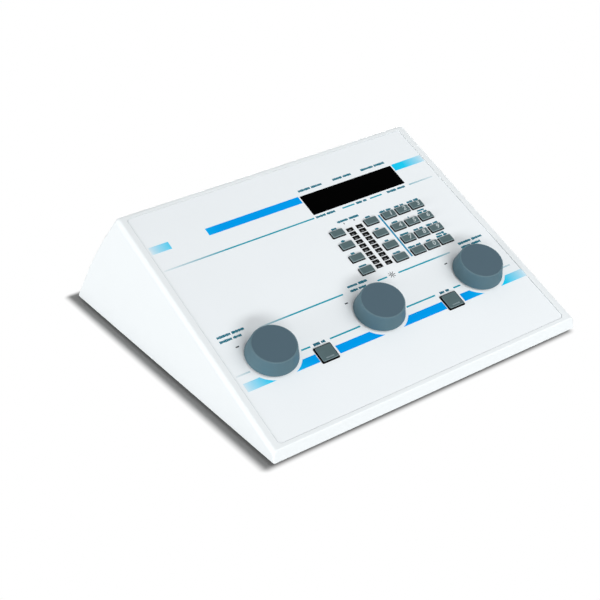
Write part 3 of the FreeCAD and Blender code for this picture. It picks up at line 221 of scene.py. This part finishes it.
def finishes():
    """One paint for each of the record's material slots."""
    made = {
        "case_white": worn("case_white", colour("f0f5f7"), 0.46, 0.45, 0.006, 0.015,
                           specular_ior_level=0.25),
        "base_grey": worn("base_grey", colour("c9cdd0"), 0.55, 0.7, 0.02),
        "foot_rubber": worn("foot_rubber", colour("2a2b2c"), 0.82, 0.6, 0.03, 0.12),
        "screw_steel": worn("screw_steel", colour("b9bcbf"), 0.3, 0.3, 0.004, metallic=1.0),
        "panel_aluminium": worn("panel_aluminium", colour("c4c7c9"), 0.36, 0.3, 0.004, metallic=1.0),
        "overlay_print": worn("overlay_print", SHEET_SHADE, 0.5, 0.35, 0.003, 0.015,
                              specular_ior_level=0.06),
        "tube_glass": worn("tube_glass", colour("0c1413"), 0.12, 3.0, 0.001),
        "board_green": worn("board_green", colour("1d5a3a"), 0.4, 1.6, 0.02, 0.1, coat_weight=0.3),
        "trim_black": worn("trim_black", colour("060707"), 0.42, 0.3, 0.004, 0.1,
                           specular_ior_level=0.05),
        "switch_black": worn("switch_black", colour("1c1d1f"), 0.42, 0.5, 0.01, 0.1),
        "encoder_metal": worn("encoder_metal", colour("a9acad"), 0.34, 0.4, 0.005, metallic=1.0),
        "nut_nickel": worn("nut_nickel", colour("c8c6c0"), 0.24, 0.4, 0.004, metallic=1.0),
        "spacer_brass": worn("spacer_brass", colour("b99a58"), 0.32, 0.5, 0.005, metallic=1.0),
        "chip_black": worn("chip_black", colour("202123"), 0.5, 0.4, 0.01, 0.1),
        "ribbon_grey": worn("ribbon_grey", colour("9a9c9e"), 0.5, 0.8, 0.01),
        "connector_plate_paint": worn("connector_plate_paint", colour("3c4246"), 0.5, 0.35, 0.02, 0.06),
        "socket_black": worn("socket_black", colour("17181a"), 0.38, 0.4, 0.006, 0.1),
        "knob_cap_dark": worn("knob_cap_dark", colour("506672"), 0.55, 0.3, 0.006, 0.04,
                              specular_ior_level=0.15),
        "rocker_black": worn("rocker_black", colour("101113"), 0.28, 0.3, 0.004, 0.1),
    }
    made.update(window_black=window_black(), lamp_lens=lamp_lens(), key_grey=key_grey(),
                knob_slate=knob_slate())
    return made


def knob_slate():
    """Slate skirt of a knob, with a paler painted highlight on the edge round its cap."""
    paint = worn("knob_slate", colour("506c77"), 0.5, 0.3, 0.006, 0.04, specular_ior_level=0.18)
    # painted highlight along the skirt's top edge, in pale 93aab2
    painted_highlight = paint.step(paint.panel_height(), KNOB_TOP - KNOB_PAINTED_HIGHLIGHT_HEIGHT, KNOB_TOP)
    paint.set("Base Color", paint.mix(0.15 * painted_highlight, paint.ground, colour("93aab2")))
    return paint


def window_black():
    """Gloss black window, with faint wiping marks in its sheen."""
    paint = Paint("window_black", specular_ior_level=0.005)
    smear = paint.noise(22.0, 4.0, (1, 0.35, 1))
    paint.set("Base Color", paint.mix(smear, colour("000000"), colour("020202")))
    paint.set("Roughness", 0.06 + 0.08 * smear)
    return paint


def lamp_lens():
    """Unlit lamp: smoke-grey moulding, with near-black painted shade over its upper half."""
    paint = Paint("lamp_lens", coat_weight=0.4)
    cloud = paint.noise(1.1)
    rise = paint.panel_rise() - middle("leds")[1]
    # painted shade in near-black 0c0d0d over the upper half of each lamp's pitch
    painted_shade = paint.step(paint.math("WRAP", rise, LAMP_PITCH, 0.0), LAMP_PITCH / 2, LAMP_PITCH / 2 + SOFT_EDGE)
    grey = paint.mix(cloud, colour("7b8184"), colour("a3a9ac"))
    paint.set("Base Color", paint.mix(0.85 * painted_shade, grey, colour("0c0d0d")))
    paint.set("Roughness", 0.18 + 0.15 * cloud)
    return paint


def key_grey():
    """Teal-grey faces with a painted highlight on the bevel, above flanks with painted shade that go
    near-black, by the height above the rim.
    """
    paint = Paint("key_grey", specular_ior_level=0.15)
    height = paint.panel_height()
    # top is 0 on the flanks, which get painted shade in near-black 131516
    top = paint.step(height, KEY_TOP - PAINTED_FLANK_SHADE_DEPTH, KEY_TOP - PAINTED_FLANK_SHADE_DEPTH + PAINTED_FLANK_SHADE_FADE)
    # face is 0 on the bevel, which gets a painted highlight in paler 7c8f93
    face = paint.step(height, KEY_TOP - PAINTED_BEVEL_HIGHLIGHT_DEPTH, KEY_TOP - PAINTED_BEVEL_HIGHLIGHT_DEPTH / 4)
    cloud = paint.noise(9.0, 3.0)
    grey = paint.mix(cloud, colour("506366"), colour("5b7074"))
    grey_with_painted_highlight = paint.mix(face, colour("7c8f93"), grey)
    paint.set("Base Color", paint.mix(top, colour("131516"), grey_with_painted_highlight))
    paint.set("Roughness", 0.38 + 0.14 * top + 0.08 * (cloud - 0.5))
    paint.set("Normal", paint.bump(paint.noise(0.28), 0.006))
    return paint


def fading_ink(name, left, right, fade, power, shades):
    """Ink that grows from the sheet's own colour at both ends of a printed line: the first shade is reached
    one fade in from an end, and the second one two fades further."""
    paint = Paint(name, specular_ior_level=0.02)
    x = paint.along((1, 0, 0))
    inward = paint.math("MINIMUM", x - left, right - x)
    share = paint.step(inward, 0.0, fade, smooth=False) ** power
    cloud = paint.noise(26.0, 3.0)
    full = paint.mix(paint.step(inward, fade, 3 * fade), shades[0], shades[1])
    printed = paint.mix(share, SHEET_SHADE, full)
    paint.set("Base Color", paint.mix(0.08 * cloud, printed, (0, 0, 0, 1)))
    paint.set("Roughness", 0.5 + 0.06 * cloud)
    return paint


def plain_ink(name, shade, patch=0.06):
    """Ink of one shade with faint clouds."""
    paint = Paint(name, specular_ior_level=0.06)
    cloud = paint.noise(12.0, 3.0)
    paint.set("Base Color", paint.mix(cloud, toned(shade, 1 - patch), shade))
    paint.set("Roughness", 0.5 + 0.08 * (cloud - 0.5))
    return paint


def finish_nodes():
    """Every CAD node takes the paint of its material slot."""
    made = finishes()
    for row in frame["record"]["subparts"]:
        node = frame["nodes"][row["node"]]
        node.data.materials.clear()
        node.data.materials.append(made[row["material_slot"]].material)


# ---------------------------------------------------------------- pieces
def show(thing):
    """Puts a new object into the scene."""
    bpy.context.scene.collection.objects.link(thing)
    return thing


def settle(name, mesh, paint, body="case"):
    """A closed mesh becomes a piece with outward faces that rides on its body."""
    work = bmesh.new()
    work.from_mesh(mesh)
    bmesh.ops.remove_doubles(work, verts=work.verts, dist=1e-6)
    bmesh.ops.recalc_face_normals(work, faces=work.faces)
    work.to_mesh(mesh)
    work.free()
    mesh.materials.clear()
    mesh.materials.append(paint.material)
    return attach(show(bpy.data.objects.new(name, mesh)), body)


def taken_mesh(holder, name):
    """The finished mesh of a text or of a piece with a live modifier. Its holder goes."""
    bpy.context.view_layer.update()
    mesh = bpy.data.meshes.new_from_object(holder.evaluated_get(bpy.context.evaluated_depsgraph_get()))
    mesh.name = name
    bpy.data.objects.remove(holder)
    return mesh


def strip(name, low, high, left, right, paint, rows=1):
    """Printed strip on the sheet between two heights v. Its ends are plain x values, or functions of v that
    it follows in a number of rows."""
    ends = [end if callable(end) else (lambda v, end=end: end) for end in (left, right)]
    points, faces = [], []
    for i in range(rows + 1):
        v = low + (high - low) * i / rows
        for h in (SHEET_FACE, SHEET_FACE + INK):
            points += [PANEL @ (Vector((end(v), v, h)) * MM) for end in ends]
    for a in range(0, 4 * rows, 4):
        b = a + 4
        faces += [(a, a + 1, b + 1, b), (a + 2, b + 2, b + 3, a + 3),
                  (a, b, b + 2, a + 2), (a + 1, a + 3, b + 3, b + 1)]
    last = 4 * rows
    faces += [(0, 2, 3, 1), (last, last + 1, last + 3, last + 2)]
    mesh = bpy.data.meshes.new(name)
    mesh.from_pydata([tuple(p) for p in points], [], faces)
    return settle(name, mesh, paint)


def stamp_tree():
    """Geometry nodes that set one bar on every point, and the identifiers of their inputs. The point says
    how large and how turned its bar is, and a fixed seed makes the heights uneven."""
    tree = bpy.data.node_groups.new("printed_bars", "GeometryNodeTree")
    sockets = {}
    for title, kind in (("Points", "Geometry"), ("Bar", "Object"), ("Tilt", "Vector"),
                        ("Unevenness", "Float"), ("Seed", "Int"), ("Ink", "Material")):
        made = tree.interface.new_socket(title, in_out="INPUT", socket_type="NodeSocket" + kind)
        sockets[title] = made.identifier
    tree.interface.new_socket("Bars", in_out="OUTPUT", socket_type="NodeSocketGeometry")

    def add(kind, values=None, **settings):
        node = tree.nodes.new(kind)
        for key, value in settings.items():
            setattr(node, key, value)
        for key, value in (values or {}).items():
            node.inputs[key].default_value = value
        return node

    def join(source, output, target, key):
        tree.links.new(source.outputs[output], target.inputs[key])

    start, end = add("NodeGroupInput"), add("NodeGroupOutput")
    bar = add("GeometryNodeObjectInfo")
    size = add("GeometryNodeInputNamedAttribute", {"Name": "bar_size"}, data_type="FLOAT_VECTOR")
    turn = add("GeometryNodeInputNamedAttribute", {"Name": "bar_turn"}, data_type="FLOAT")
    spin = add("ShaderNodeCombineXYZ")
    least, most = [add("ShaderNodeMath", {0: 1.0}, operation=kind) for kind in ("SUBTRACT", "ADD")]
    change = add("FunctionNodeRandomValue", data_type="FLOAT")
    stretch = add("ShaderNodeCombineXYZ", {"X": 1.0, "Z": 1.0})
    sized = add("ShaderNodeVectorMath", operation="MULTIPLY")
    lean, own = add("FunctionNodeEulerToRotation"), add("FunctionNodeEulerToRotation")
    both = add("FunctionNodeRotateRotation", rotation_space="LOCAL")
    place = add("GeometryNodeInstanceOnPoints")
    whole = add("GeometryNodeRealizeInstances")
    inked = add("GeometryNodeSetMaterial")
    join(start, "Points", place, "Points")
    join(start, "Bar", bar, "Object")
    join(bar, "Geometry", place, "Instance")
    join(start, "Tilt", lean, "Euler")
    join(turn, "Attribute", spin, "Z")
    join(spin, "Vector", own, "Euler")
    join(lean, "Rotation", both, "Rotation")
    join(own, "Rotation", both, "Rotate By")
    join(both, "Rotation", place, "Rotation")
    join(start, "Unevenness", least, 1)
    join(start, "Unevenness", most, 1)
    join(least, 0, change, "Min")
    join(most, 0, change, "Max")
    join(start, "Seed", change, "Seed")
    change_output = next(s for s in change.outputs if s.enabled)
    tree.links.new(change_output, stretch.inputs["Y"])
    join(size, "Attribute", sized, 0)
    join(stretch, "Vector", sized, 1)
    join(sized, "Vector", place, "Scale")
    join(place, "Instances", whole, "Geometry")
    join(whole, "Geometry", inked, "Geometry")
    join(start, "Ink", inked, "Material")
    join(inked, "Geometry", end, "Bars")
    return tree, sockets


def unit_bar():
    """A bar of one metre each way with clipped corners, standing on its underside."""
    clipped = [(0.5, 0.32), (0.46, 0.5)]
    outline = clipped + [(-x, y) for x, y in clipped[::-1]]
    outline += [(-x, -y) for x, y in outline]
    n = len(outline)
    mesh = bpy.data.meshes.new("unit_bar")
    faces = [tuple(range(n))[::-1], tuple(range(n, 2 * n))]
    faces += [(i, (i + 1) % n, (i + 1) % n + n, i + n) for i in range(n)]
    mesh.from_pydata([(x, y, z) for z in (0, 1) for x, y in outline], [], faces)
    return show(bpy.data.objects.new("unit_bar", mesh))


def bars(name, rows, paint, body="case", unevenness=0.0, seed=1, where=PANEL, base=SHEET_FACE):
    """Printed bars from rows of (x, v, length, width) or (x, v, length, width, turn in degrees)."""
    mesh = bpy.data.meshes.new(name + "_points")
    mesh.from_pydata([tuple(where @ (Vector((x, v, base)) * MM)) for x, v, *_ in rows], [], [])
    size = mesh.attributes.new("bar_size", "FLOAT_VECTOR", "POINT")
    size.data.foreach_set("vector", [c * MM for row in rows for c in (row[2], row[3], INK)])
    turn = mesh.attributes.new("bar_turn", "FLOAT", "POINT")
    turn.data.foreach_set("value", [math.radians(row[4]) if len(row) > 4 else 0.0 for row in rows])
    holder = show(bpy.data.objects.new(name + "_points", mesh))
    modifier = holder.modifiers.new("bars", "NODES")
    modifier.node_group, sockets = STAMP
    values = {"Bar": UNIT_BAR, "Tilt": tuple(where.to_euler()), "Unevenness": unevenness, "Seed": seed,
              "Ink": paint.material}
    for title, value in values.items():
        modifier[sockets[title]] = value
    return settle(name, taken_mesh(holder, name), paint, body)


CAP_TO_SIZE = 1.4       # type size for a digit's height
BOLDNESS = 0.04         # of a digit's height
LETTER_PITCH = 1.25
LETTER_WIDTH = 1.15
LONG_LABEL = 7          # a longer label has a gap between two words
SECOND_LINE = 0.8       # its length as a share of the first one's


def figure(name, text, x, v, height, paint, base, body="case", where=PANEL, slant=0.0):
    """Plain digits as a thin slab."""
    letters = bpy.data.curves.new(name, "FONT")
    letters.body = text
    letters.align_x = "CENTER"
    letters.align_y = "CENTER"
    letters.size = height * CAP_TO_SIZE * MM
    letters.shear = slant
    letters.extrude = INK / 2 * MM
    letters.offset = height * BOLDNESS * MM
    letters.resolution_u = 3
    mesh = taken_mesh(show(bpy.data.objects.new(name + "_letters", letters)), name)
    mesh.transform(where @ Matrix.Translation(Vector((x, v, base + INK / 2)) * MM))
    return settle(name, mesh, paint, body)


def label(x, v, length, height=2.3, lines=1, pitch=4.8):
    """Rows of small plain blocks where a label stands: as many as its letters, with a gap between words."""
    rows = []
    for line in range(lines):
        span = length * (SECOND_LINE if line else 1.0)
        count = max(int(span / LETTER_PITCH), 1)
        gap = count // 2 + (line + count) % 2 if count > LONG_LABEL else None
        start = x - length / 2 + LETTER_PITCH / 2
        rows += [(start + i * LETTER_PITCH, v - line * pitch, LETTER_WIDTH, height)
                 for i in range(count) if i != gap]
    return rows


# ---------------------------------------------------------------- bands and lines on the panel
KNOBS = [middle("knob_" + side)[:2] for side in KNOB_SIDES]
BUTTONS = [middle("button_" + side)[0] for side in BUTTON_SIDES]
WINDOW_LOW, WINDOW_HIGH = node_box("display_window", only_top=True)
KNOB_CLEARING = 24.7    # radius that stays bare round a knob
BUTTON_CLEARING = (8.9, 10.4)   # of the band, left and right of a button's middle
WINDOW_CLEARING = 1.3
UPPER_BAND = (208.5, 216.7)     # lower and upper edge
UPPER_SPANS = ((-141.6, -123.1), (-87.4, WINDOW_LOW[0] - WINDOW_CLEARING),
               (WINDOW_HIGH[0] + WINDOW_CLEARING, 142.5))
LOWER_BAND = (54.9, 63.2)
BAND_FADE = 24.0
LINE_WIDTH = 1.5
WINDOW_LINE = 188.8     # heights of the thin lines
MIDDLE_LINE = 105.5
LOWER_LINE = 71.2
# Lines: name, height, where the ink starts at both ends, its fade, and the spans between labels.
THIN_LINES = (("window_line", WINDOW_LINE, -142.0, 142.0, 62.0,
               ((-141.5, 6.5), (36.5, 49.5), (66.5, 79.5), (110.5, 137.0))),
              ("middle_line", MIDDLE_LINE, -103.0, 106.0, 32.0,
               ((-100.0, -18.0), (17.5, 27.5), (39.5, 95.5))))
BUTTON_LABEL_GAPS = ((-72.5, -53.5), (54.0, 73.8))
DIVIDER = (115.9, 168.5, 61.0, 62.7)    # lower, upper, left and right edge


def ring_edge(knob, side):
    """The x where a knob's clearing cuts a strip, as a function of v."""
    x, v = knob
    return lambda at: x + side * math.sqrt(max(KNOB_CLEARING ** 2 - (at - v) ** 2, 0.0))


def cut_by_rings(name, low, high, left, right, gaps, paint, rows):
    """A strip across the panel, interrupted by the knobs' clearings and by plain gaps."""
    cuts = [(knob[0], ring_edge(knob, -1), ring_edge(knob, 1)) for knob in KNOBS]
    cuts += [((near + far) / 2, near, far) for near, far in gaps]
    start = left
    for i, (_, cut, resume) in enumerate(sorted(cuts, key=lambda c: c[0]) + [(0, right, None)]):
        strip("%s_%d" % (name, i + 1), low, high, start, cut, paint, rows)
        start = resume


def bands():
    """Blue bands: the upper one is bare in its left part, and the window stands in it."""
    upper = fading_ink("upper_band_ink", -142.0, 144.5, BAND_FADE, 0.5, (CYAN, AZURE))
    for i, (left, right) in enumerate(UPPER_SPANS):
        strip("upper_band_%d" % (i + 1), *UPPER_BAND, left, right, upper)
    lower = fading_ink("lower_band_ink", -141.5, 145.0, BAND_FADE, 0.5, (CYAN, AZURE))
    cut_by_rings("lower_band", *LOWER_BAND, -140.0, 143.5,
                 [(x - BUTTON_CLEARING[0], x + BUTTON_CLEARING[1]) for x in BUTTONS], lower, 12)


def thin_lines():
    """Three rows of thin lines, left out where labels stand in them, and the upright line of the keypad."""
    half = LINE_WIDTH / 2
    for name, v, inked_from, inked_to, fade, spans in THIN_LINES:
        ink = fading_ink(name + "_ink", inked_from, inked_to, fade, 0.7, (TEAL, TEAL))
        for i, (left, right) in enumerate(spans):
            strip("%s_%d" % (name, i + 1), v - half, v + half, left, right, ink)
    ink = fading_ink("lower_line_ink", -142.0, 145.0, 45.0, 0.7, (TEAL, TEAL))
    cut_by_rings("lower_line", LOWER_LINE - half, LOWER_LINE + half, -141.5, 137.0, BUTTON_LABEL_GAPS,
                 ink, 3)
    strip("divider", *DIVIDER, plain_ink("divider_ink", colour("2a93bb")))


# ---------------------------------------------------------------- labels, marks and figures
# Length of each key's label.
KEY_LABELS = {"key_a1": 5, "key_a2": 4.5, "key_a3": 4.5, "key_a4": 8,
              "key_b1": 5, "key_b2": 4.5, "key_b3": 4.5, "key_b4": 8,
              "key_1": 13, "key_2": 10.5, "key_3": 13, "key_4": 7, "key_5": 2, "key_6": 10,
              "key_7": 9.5, "key_8": 10.5, "key_9": 13,
              "key_lower_left": 14, "key_0": 5, "key_lower_right": 12}
TWO_LINE_KEYS = {"key_6": 7.5, "key_lower_right": 9.5}      # and their upper line's length
KEY_LABEL_HEIGHT = 2.0
KEY_LABEL_RISE = 6.0    # from a key's middle to its label
KEY_LINE_PITCH = 2.6
# Labels on the sheet: middle x, height v and length.
SHEET_LABELS = ((18.5, WINDOW_LINE, 20), (57.5, WINDOW_LINE, 12), (96.0, WINDOW_LINE, 21),
                (23.0, 222.0, 25), (58.0, 222.0, 21), (92.0, 222.0, 27), (34.0, 176.0, 23))
KNOB_LABELS = ((-123.5, 110.2, 26), (0.0, 110.2, 21), (122.0, 110.2, 27))
BUTTON_LABELS = ((-63.5, 71.3, 12), (64.0, 71.3, 10))
LABEL_UNEVENNESS = 0.22
# Bars: x, v, length and width. A knob's and a lamp's x and v are from its own middle.
COLUMN_MARKS = ((27.6, 172.7, 0.7, 1.8), (38.4, 172.7, 1.4, 1.5))
KNOB_MARK = (-20.7, 18.4, 3.0, 1.2)
LAMP_BORDER = ((-3.1, 0.2, 0.3, 4.2), (3.2, 0.2, 0.5, 4.2), (0.1, 2.1, 6.7, 0.5))
LAMP_FRAME = 6.0        # width of a lamp's frame
SUN_PLACE = (33.0, 106.0)
SUN_RADIUS = 2.0        # to the middle of a ray
SUN_RAYS = 8
SUN_RAY = (2.9, 0.55)   # length and width
DIGIT_PLACE = (1.6, 0.2)        # from the middle of a key's face
DIGIT_HEIGHT = 4.6
DIGIT_SLANT = 0.2
BUTTON_MARK_PLACE = (0.5, -4.8)


def ring(count, radius, length, width, middle_x=0.0, middle_v=0.0):
    """Bars round a circle, each one pointing away from its middle."""
    turns = [2 * math.pi / count * i for i in range(count)]
    return [(middle_x + radius * math.cos(turn), middle_v + radius * math.sin(turn), length, width,
             math.degrees(turn)) for turn in turns]


def labels():
    """Blocks for the labels by the window, the lamps, the knobs, the keys and the buttons."""
    rows = []
    for x, v, length in SHEET_LABELS:
        rows += label(x, v, length)
    for x, v, length in KNOB_LABELS:
        rows += label(x, v, length, lines=2)
    for node, length in KEY_LABELS.items():
        x, v = middle(node)[:2]
        rows += label(x, v + KEY_LABEL_RISE, length, KEY_LABEL_HEIGHT)
        if node in TWO_LINE_KEYS:
            rows += label(x, v + KEY_LABEL_RISE + KEY_LINE_PITCH, TWO_LINE_KEYS[node], KEY_LABEL_HEIGHT)
    ink = plain_ink("label_ink", colour("1b788d"))
    bars("panel_labels", rows, ink, unevenness=LABEL_UNEVENNESS, seed=7)
    rows = []
    for x, v, length in BUTTON_LABELS:
        rows += label(x, v, length)
    ink = plain_ink("button_label_ink", colour("12667c"))
    bars("button_labels", rows, ink, unevenness=LABEL_UNEVENNESS, seed=3)


def marks():
    """A short mark by each knob and over each lamp column, a plain sun, and the lamps' printed borders."""
    dx, dv, length, width = KNOB_MARK
    rows = [(x + dx, v + dv, length, width) for x, v in KNOBS]
    bars("knob_and_column_marks", rows + list(COLUMN_MARKS), plain_ink("mark_ink", colour("2f3b42")))
    sun = ring(SUN_RAYS, SUN_RADIUS, *SUN_RAY, *SUN_PLACE)
    bars("sun_symbol", sun, plain_ink("symbol_ink", colour("4f575a")))
    low, high = node_box("led_bezels")
    columns = [low[0] + LAMP_FRAME / 2, high[0] - LAMP_FRAME / 2]
    lamps = [(x, (low[1] + high[1]) / 2 + (i - (LAMP_ROWS - 1) / 2) * LAMP_PITCH)
             for x in columns for i in range(LAMP_ROWS)]
    edges = [(x + dx, v + dv, length, width) for x, v in lamps for dx, dv, length, width in LAMP_BORDER]
    bars("lamp_borders", edges, plain_ink("border_ink", colour("060707")))


def key_figures():
    """Digits on the number keys, and a row of faint short marks on each square button."""
    ink = plain_ink("digit_ink", colour("bcc8ca"), 0.03)
    dx, dv = DIGIT_PLACE
    for i in range(10):
        node = "key_%d" % i
        x, v, top = middle(node)
        figure("digit_%d" % i, str(i), x + dx, v + dv, DIGIT_HEIGHT, ink, top, node, slant=DIGIT_SLANT)
    faint = plain_ink("button_mark_ink", colour("84959a"), 0.03)
    dx, dv = BUTTON_MARK_PLACE
    for side in BUTTON_SIDES:
        node = "button_" + side
        x, v, top = middle(node)
        bars("button_mark_" + side, label(x + dx, v + dv, 8.0, 1.2), faint, node, unevenness=0.2, base=top)


# ---------------------------------------------------------------- marks on the rear
JACKS = 6
JACK_NUMBER_RISE = 4.2  # from a nut's upper edge
JACK_NUMBER_HEIGHT = 3.6
INLET_MARK_RISE = 9.6   # from the inlet's middle
INLET_LINE_GAP = 1.6
DASH_PITCH = 1.9
ROCKER_RING = (16, 1.5, 0.45, 0.62)     # bars, radius, length and width
ROCKER_BAR = (0, 0, 0.5, 3.2)
FACING_OUT = 0.9        # least cosine between a rocker's face and the rear slope


def rocker_faces():
    """A frame on each of the rocker's two faces, the one on the viewer's left first: its middle, with v up
    the rear slope and h out of the face."""
    up, out = [REAR.to_3x3() @ Vector(axis) for axis in ((0, 1, 0), (0, 0, 1))]
    sums = {}
    for face in frame["nodes"]["power_rocker"].data.polygons:
        if face.normal.dot(out) > FACING_OUT:
            way = tuple(round(c, 2) for c in face.normal)
            area, moment, _ = sums.get(way, (0.0, Vector(), None))
            sums[way] = (area + face.area, moment + face.center * face.area, face.normal.copy())
    frames = []
    for area, moment, normal in sorted(sums.values(), key=lambda total: -total[0])[:2]:
        turn = Matrix((up.cross(normal), up, normal)).transposed().to_4x4()
        frames.append(Matrix.Translation(moment / area) @ turn)
    return sorted(frames, key=lambda place: -place.translation.x)


def rear_marks():
    """Sockets numbered from the viewer's left, the direct current symbol over the inlet, and O and | on the
    rocker."""
    ink = plain_ink("rear_ink", colour("d5dadc"), 0.03)
    low, high = node_box("jack_nuts", REAR)
    plate = middle("connector_plate", REAR)[2]
    nut_width = high[1] - low[1]
    pitch = (high[0] - low[0] - nut_width) / (JACKS - 1)
    for i in range(JACKS):
        x = (low[0] + high[0]) / 2 + (i - (JACKS - 1) / 2) * pitch
        figure("jack_number_%d" % (i + 1), str(i + 1), x, high[1] + JACK_NUMBER_RISE, JACK_NUMBER_HEIGHT,
               ink, plate, where=REAR)
    x, v = middle("dc_inlet", REAR)[:2]
    upper, lower = [v + INLET_MARK_RISE + half for half in (INLET_LINE_GAP / 2, -INLET_LINE_GAP / 2)]
    rows = [(x, upper, 5.0, 0.6)] + [(x + DASH_PITCH * i, lower, 1.2, 0.6) for i in (-1, 0, 1)]
    bars("inlet_mark", rows, ink, where=REAR, base=plate)
    off_face, on_face = rocker_faces()
    bars("rocker_on_mark", [ROCKER_BAR], ink, "power_rocker", where=on_face, base=0.0)
    bars("rocker_off_mark", ring(*ROCKER_RING), ink, "power_rocker", where=off_face, base=0.0)


# ---------------------------------------------------------------- floor, light and camera
# These places are in metres, but for the floor's shadow, which is in millimetres.
FLOOR_REACH = 6.0
# Grey of the floor by the case: with the zone below it makes a painted shadow round the real one.
FLOOR_SHADE = (0.32, 0.32, 0.32, 1)
SHADOW_PLACE = (-5.0, 4.5)      # middle of the floor's plain grey zone, a painted shadow offset to the left and front
SHADOW_HALF = (HALF_WIDTH - 1.0, HALF_DEPTH)
FLOOR_FADE = (0.0, 9.0)         # from there outward the floor turns white
SKY_STRENGTH = 0.375
# Studio lamps: place, width, height and power. All look at the middle of the case.
STUDIO_LAMPS = {"key_lamp": ((1.15, -1.75, 1.4), 1.8, 1.8, 21),
                "side_lamp": ((-4.4, 0.2, 0.45), 3.2, 0.7, 133),
                "front_lamp": ((-0.6, -4.4, 0.45), 3.2, 0.7, 104),
                "back_lamp": ((2.6, 3.4, 0.7), 3.2, 0.7, 120)}
LAMP_AIM = (0, 0, 0.05)
CAMERA_PLACE = (-0.49331, -0.84096, 0.52949)
CAMERA_AIM = (-0.04963, -0.07249, 0.06)
CAMERA_ROLL = -6.19


def floor():
    """Plain floor, grey by the case, where it keeps the case's real shadow and deepens it into a painted
    shadow offset to the left and front, and the plain white background further out.
    """
    corners = [(x * FLOOR_REACH, y * FLOOR_REACH, 0) for x, y in ((-1, -1), (1, -1), (1, 1), (-1, 1))]
    mesh = bpy.data.meshes.new("floor")
    mesh.from_pydata(corners, [], [(0, 1, 2, 3)])
    paint = Paint("floor_paint", roughness=0.9, specular_ior_level=0.0)
    paint.set("Base Color", FLOOR_SHADE)
    beyond = [paint.math("MAXIMUM", paint.math("ABSOLUTE", paint.along(axis) - place) - half, 0.0)
              for axis, place, half in zip(((1, 0, 0), (0, 1, 0)), SHADOW_PLACE, SHADOW_HALF)]
    away = (beyond[0] ** 2 + beyond[1] ** 2) ** 0.5
    white = paint.add("Emission", {"Color": WHITE, "Strength": 1.0})
    shaded = Wire(paint, paint.shader.outputs[0])
    both = paint.add("MixShader", {0: paint.seen() * paint.step(away, *FLOOR_FADE), 1: shaded, 2: white})
    paint.feed(paint.tree.nodes["Material Output"].inputs["Surface"], both)
    mesh.materials.append(paint.material)
    show(bpy.data.objects.new("floor", mesh))


def sky():
    """Soft even light. The camera, gloss and glass see it as plain white."""
    world = bpy.data.worlds.new("studio")
    bpy.context.scene.world = world
    nodes = Nodes(world)
    nodes.tree.nodes.remove(nodes.tree.nodes["Background"])
    soft, plain = [nodes.add("Background", {"Color": WHITE, "Strength": power})
                   for power in (SKY_STRENGTH, 1.0)]
    both = nodes.add("MixShader", {0: nodes.seen(), 1: soft, 2: plain})
    nodes.feed(nodes.tree.nodes["World Output"].inputs["Surface"], both)


def aimed(thing, place, aim):
    """Sets a lamp or camera in its place, looking at a point, level with the floor."""
    look = (Vector(aim) - Vector(place)).to_track_quat("-Z", "Y").to_matrix().to_4x4()
    show(thing).matrix_world = Matrix.Translation(place) @ look
    return thing


def lamp(name, place, width, height, power):
    """A soft oblong studio lamp."""
    data = bpy.data.lights.new(name, "AREA")
    data.shape = "RECTANGLE"
    data.size = width
    data.size_y = height
    data.energy = power
    aimed(bpy.data.objects.new(name, data), place, LAMP_AIM)


def camera():
    """The camera looks down on the front left corner."""
    data = bpy.data.cameras.new("camera")
    data.sensor_width = 36.0
    data.lens = 72.6
    data.shift_x = -0.0011
    data.shift_y = 0.0007
    made = aimed(bpy.data.objects.new("camera", data), CAMERA_PLACE, CAMERA_AIM)
    made.matrix_world @= Matrix.Rotation(math.radians(CAMERA_ROLL), 4, "Z")
    bpy.context.scene.camera = made


# ---------------------------------------------------------------- the work, in order
finish_nodes()
STAMP = stamp_tree()
UNIT_BAR = unit_bar()
for job in (bands, thin_lines, labels, marks, key_figures, rear_marks):
    job()
bpy.data.objects.remove(UNIT_BAR)

floor()
sky()
for name, values in STUDIO_LAMPS.items():
    lamp(name, *values)
camera()
bpy.context.scene.view_settings.view_transform = "Standard"
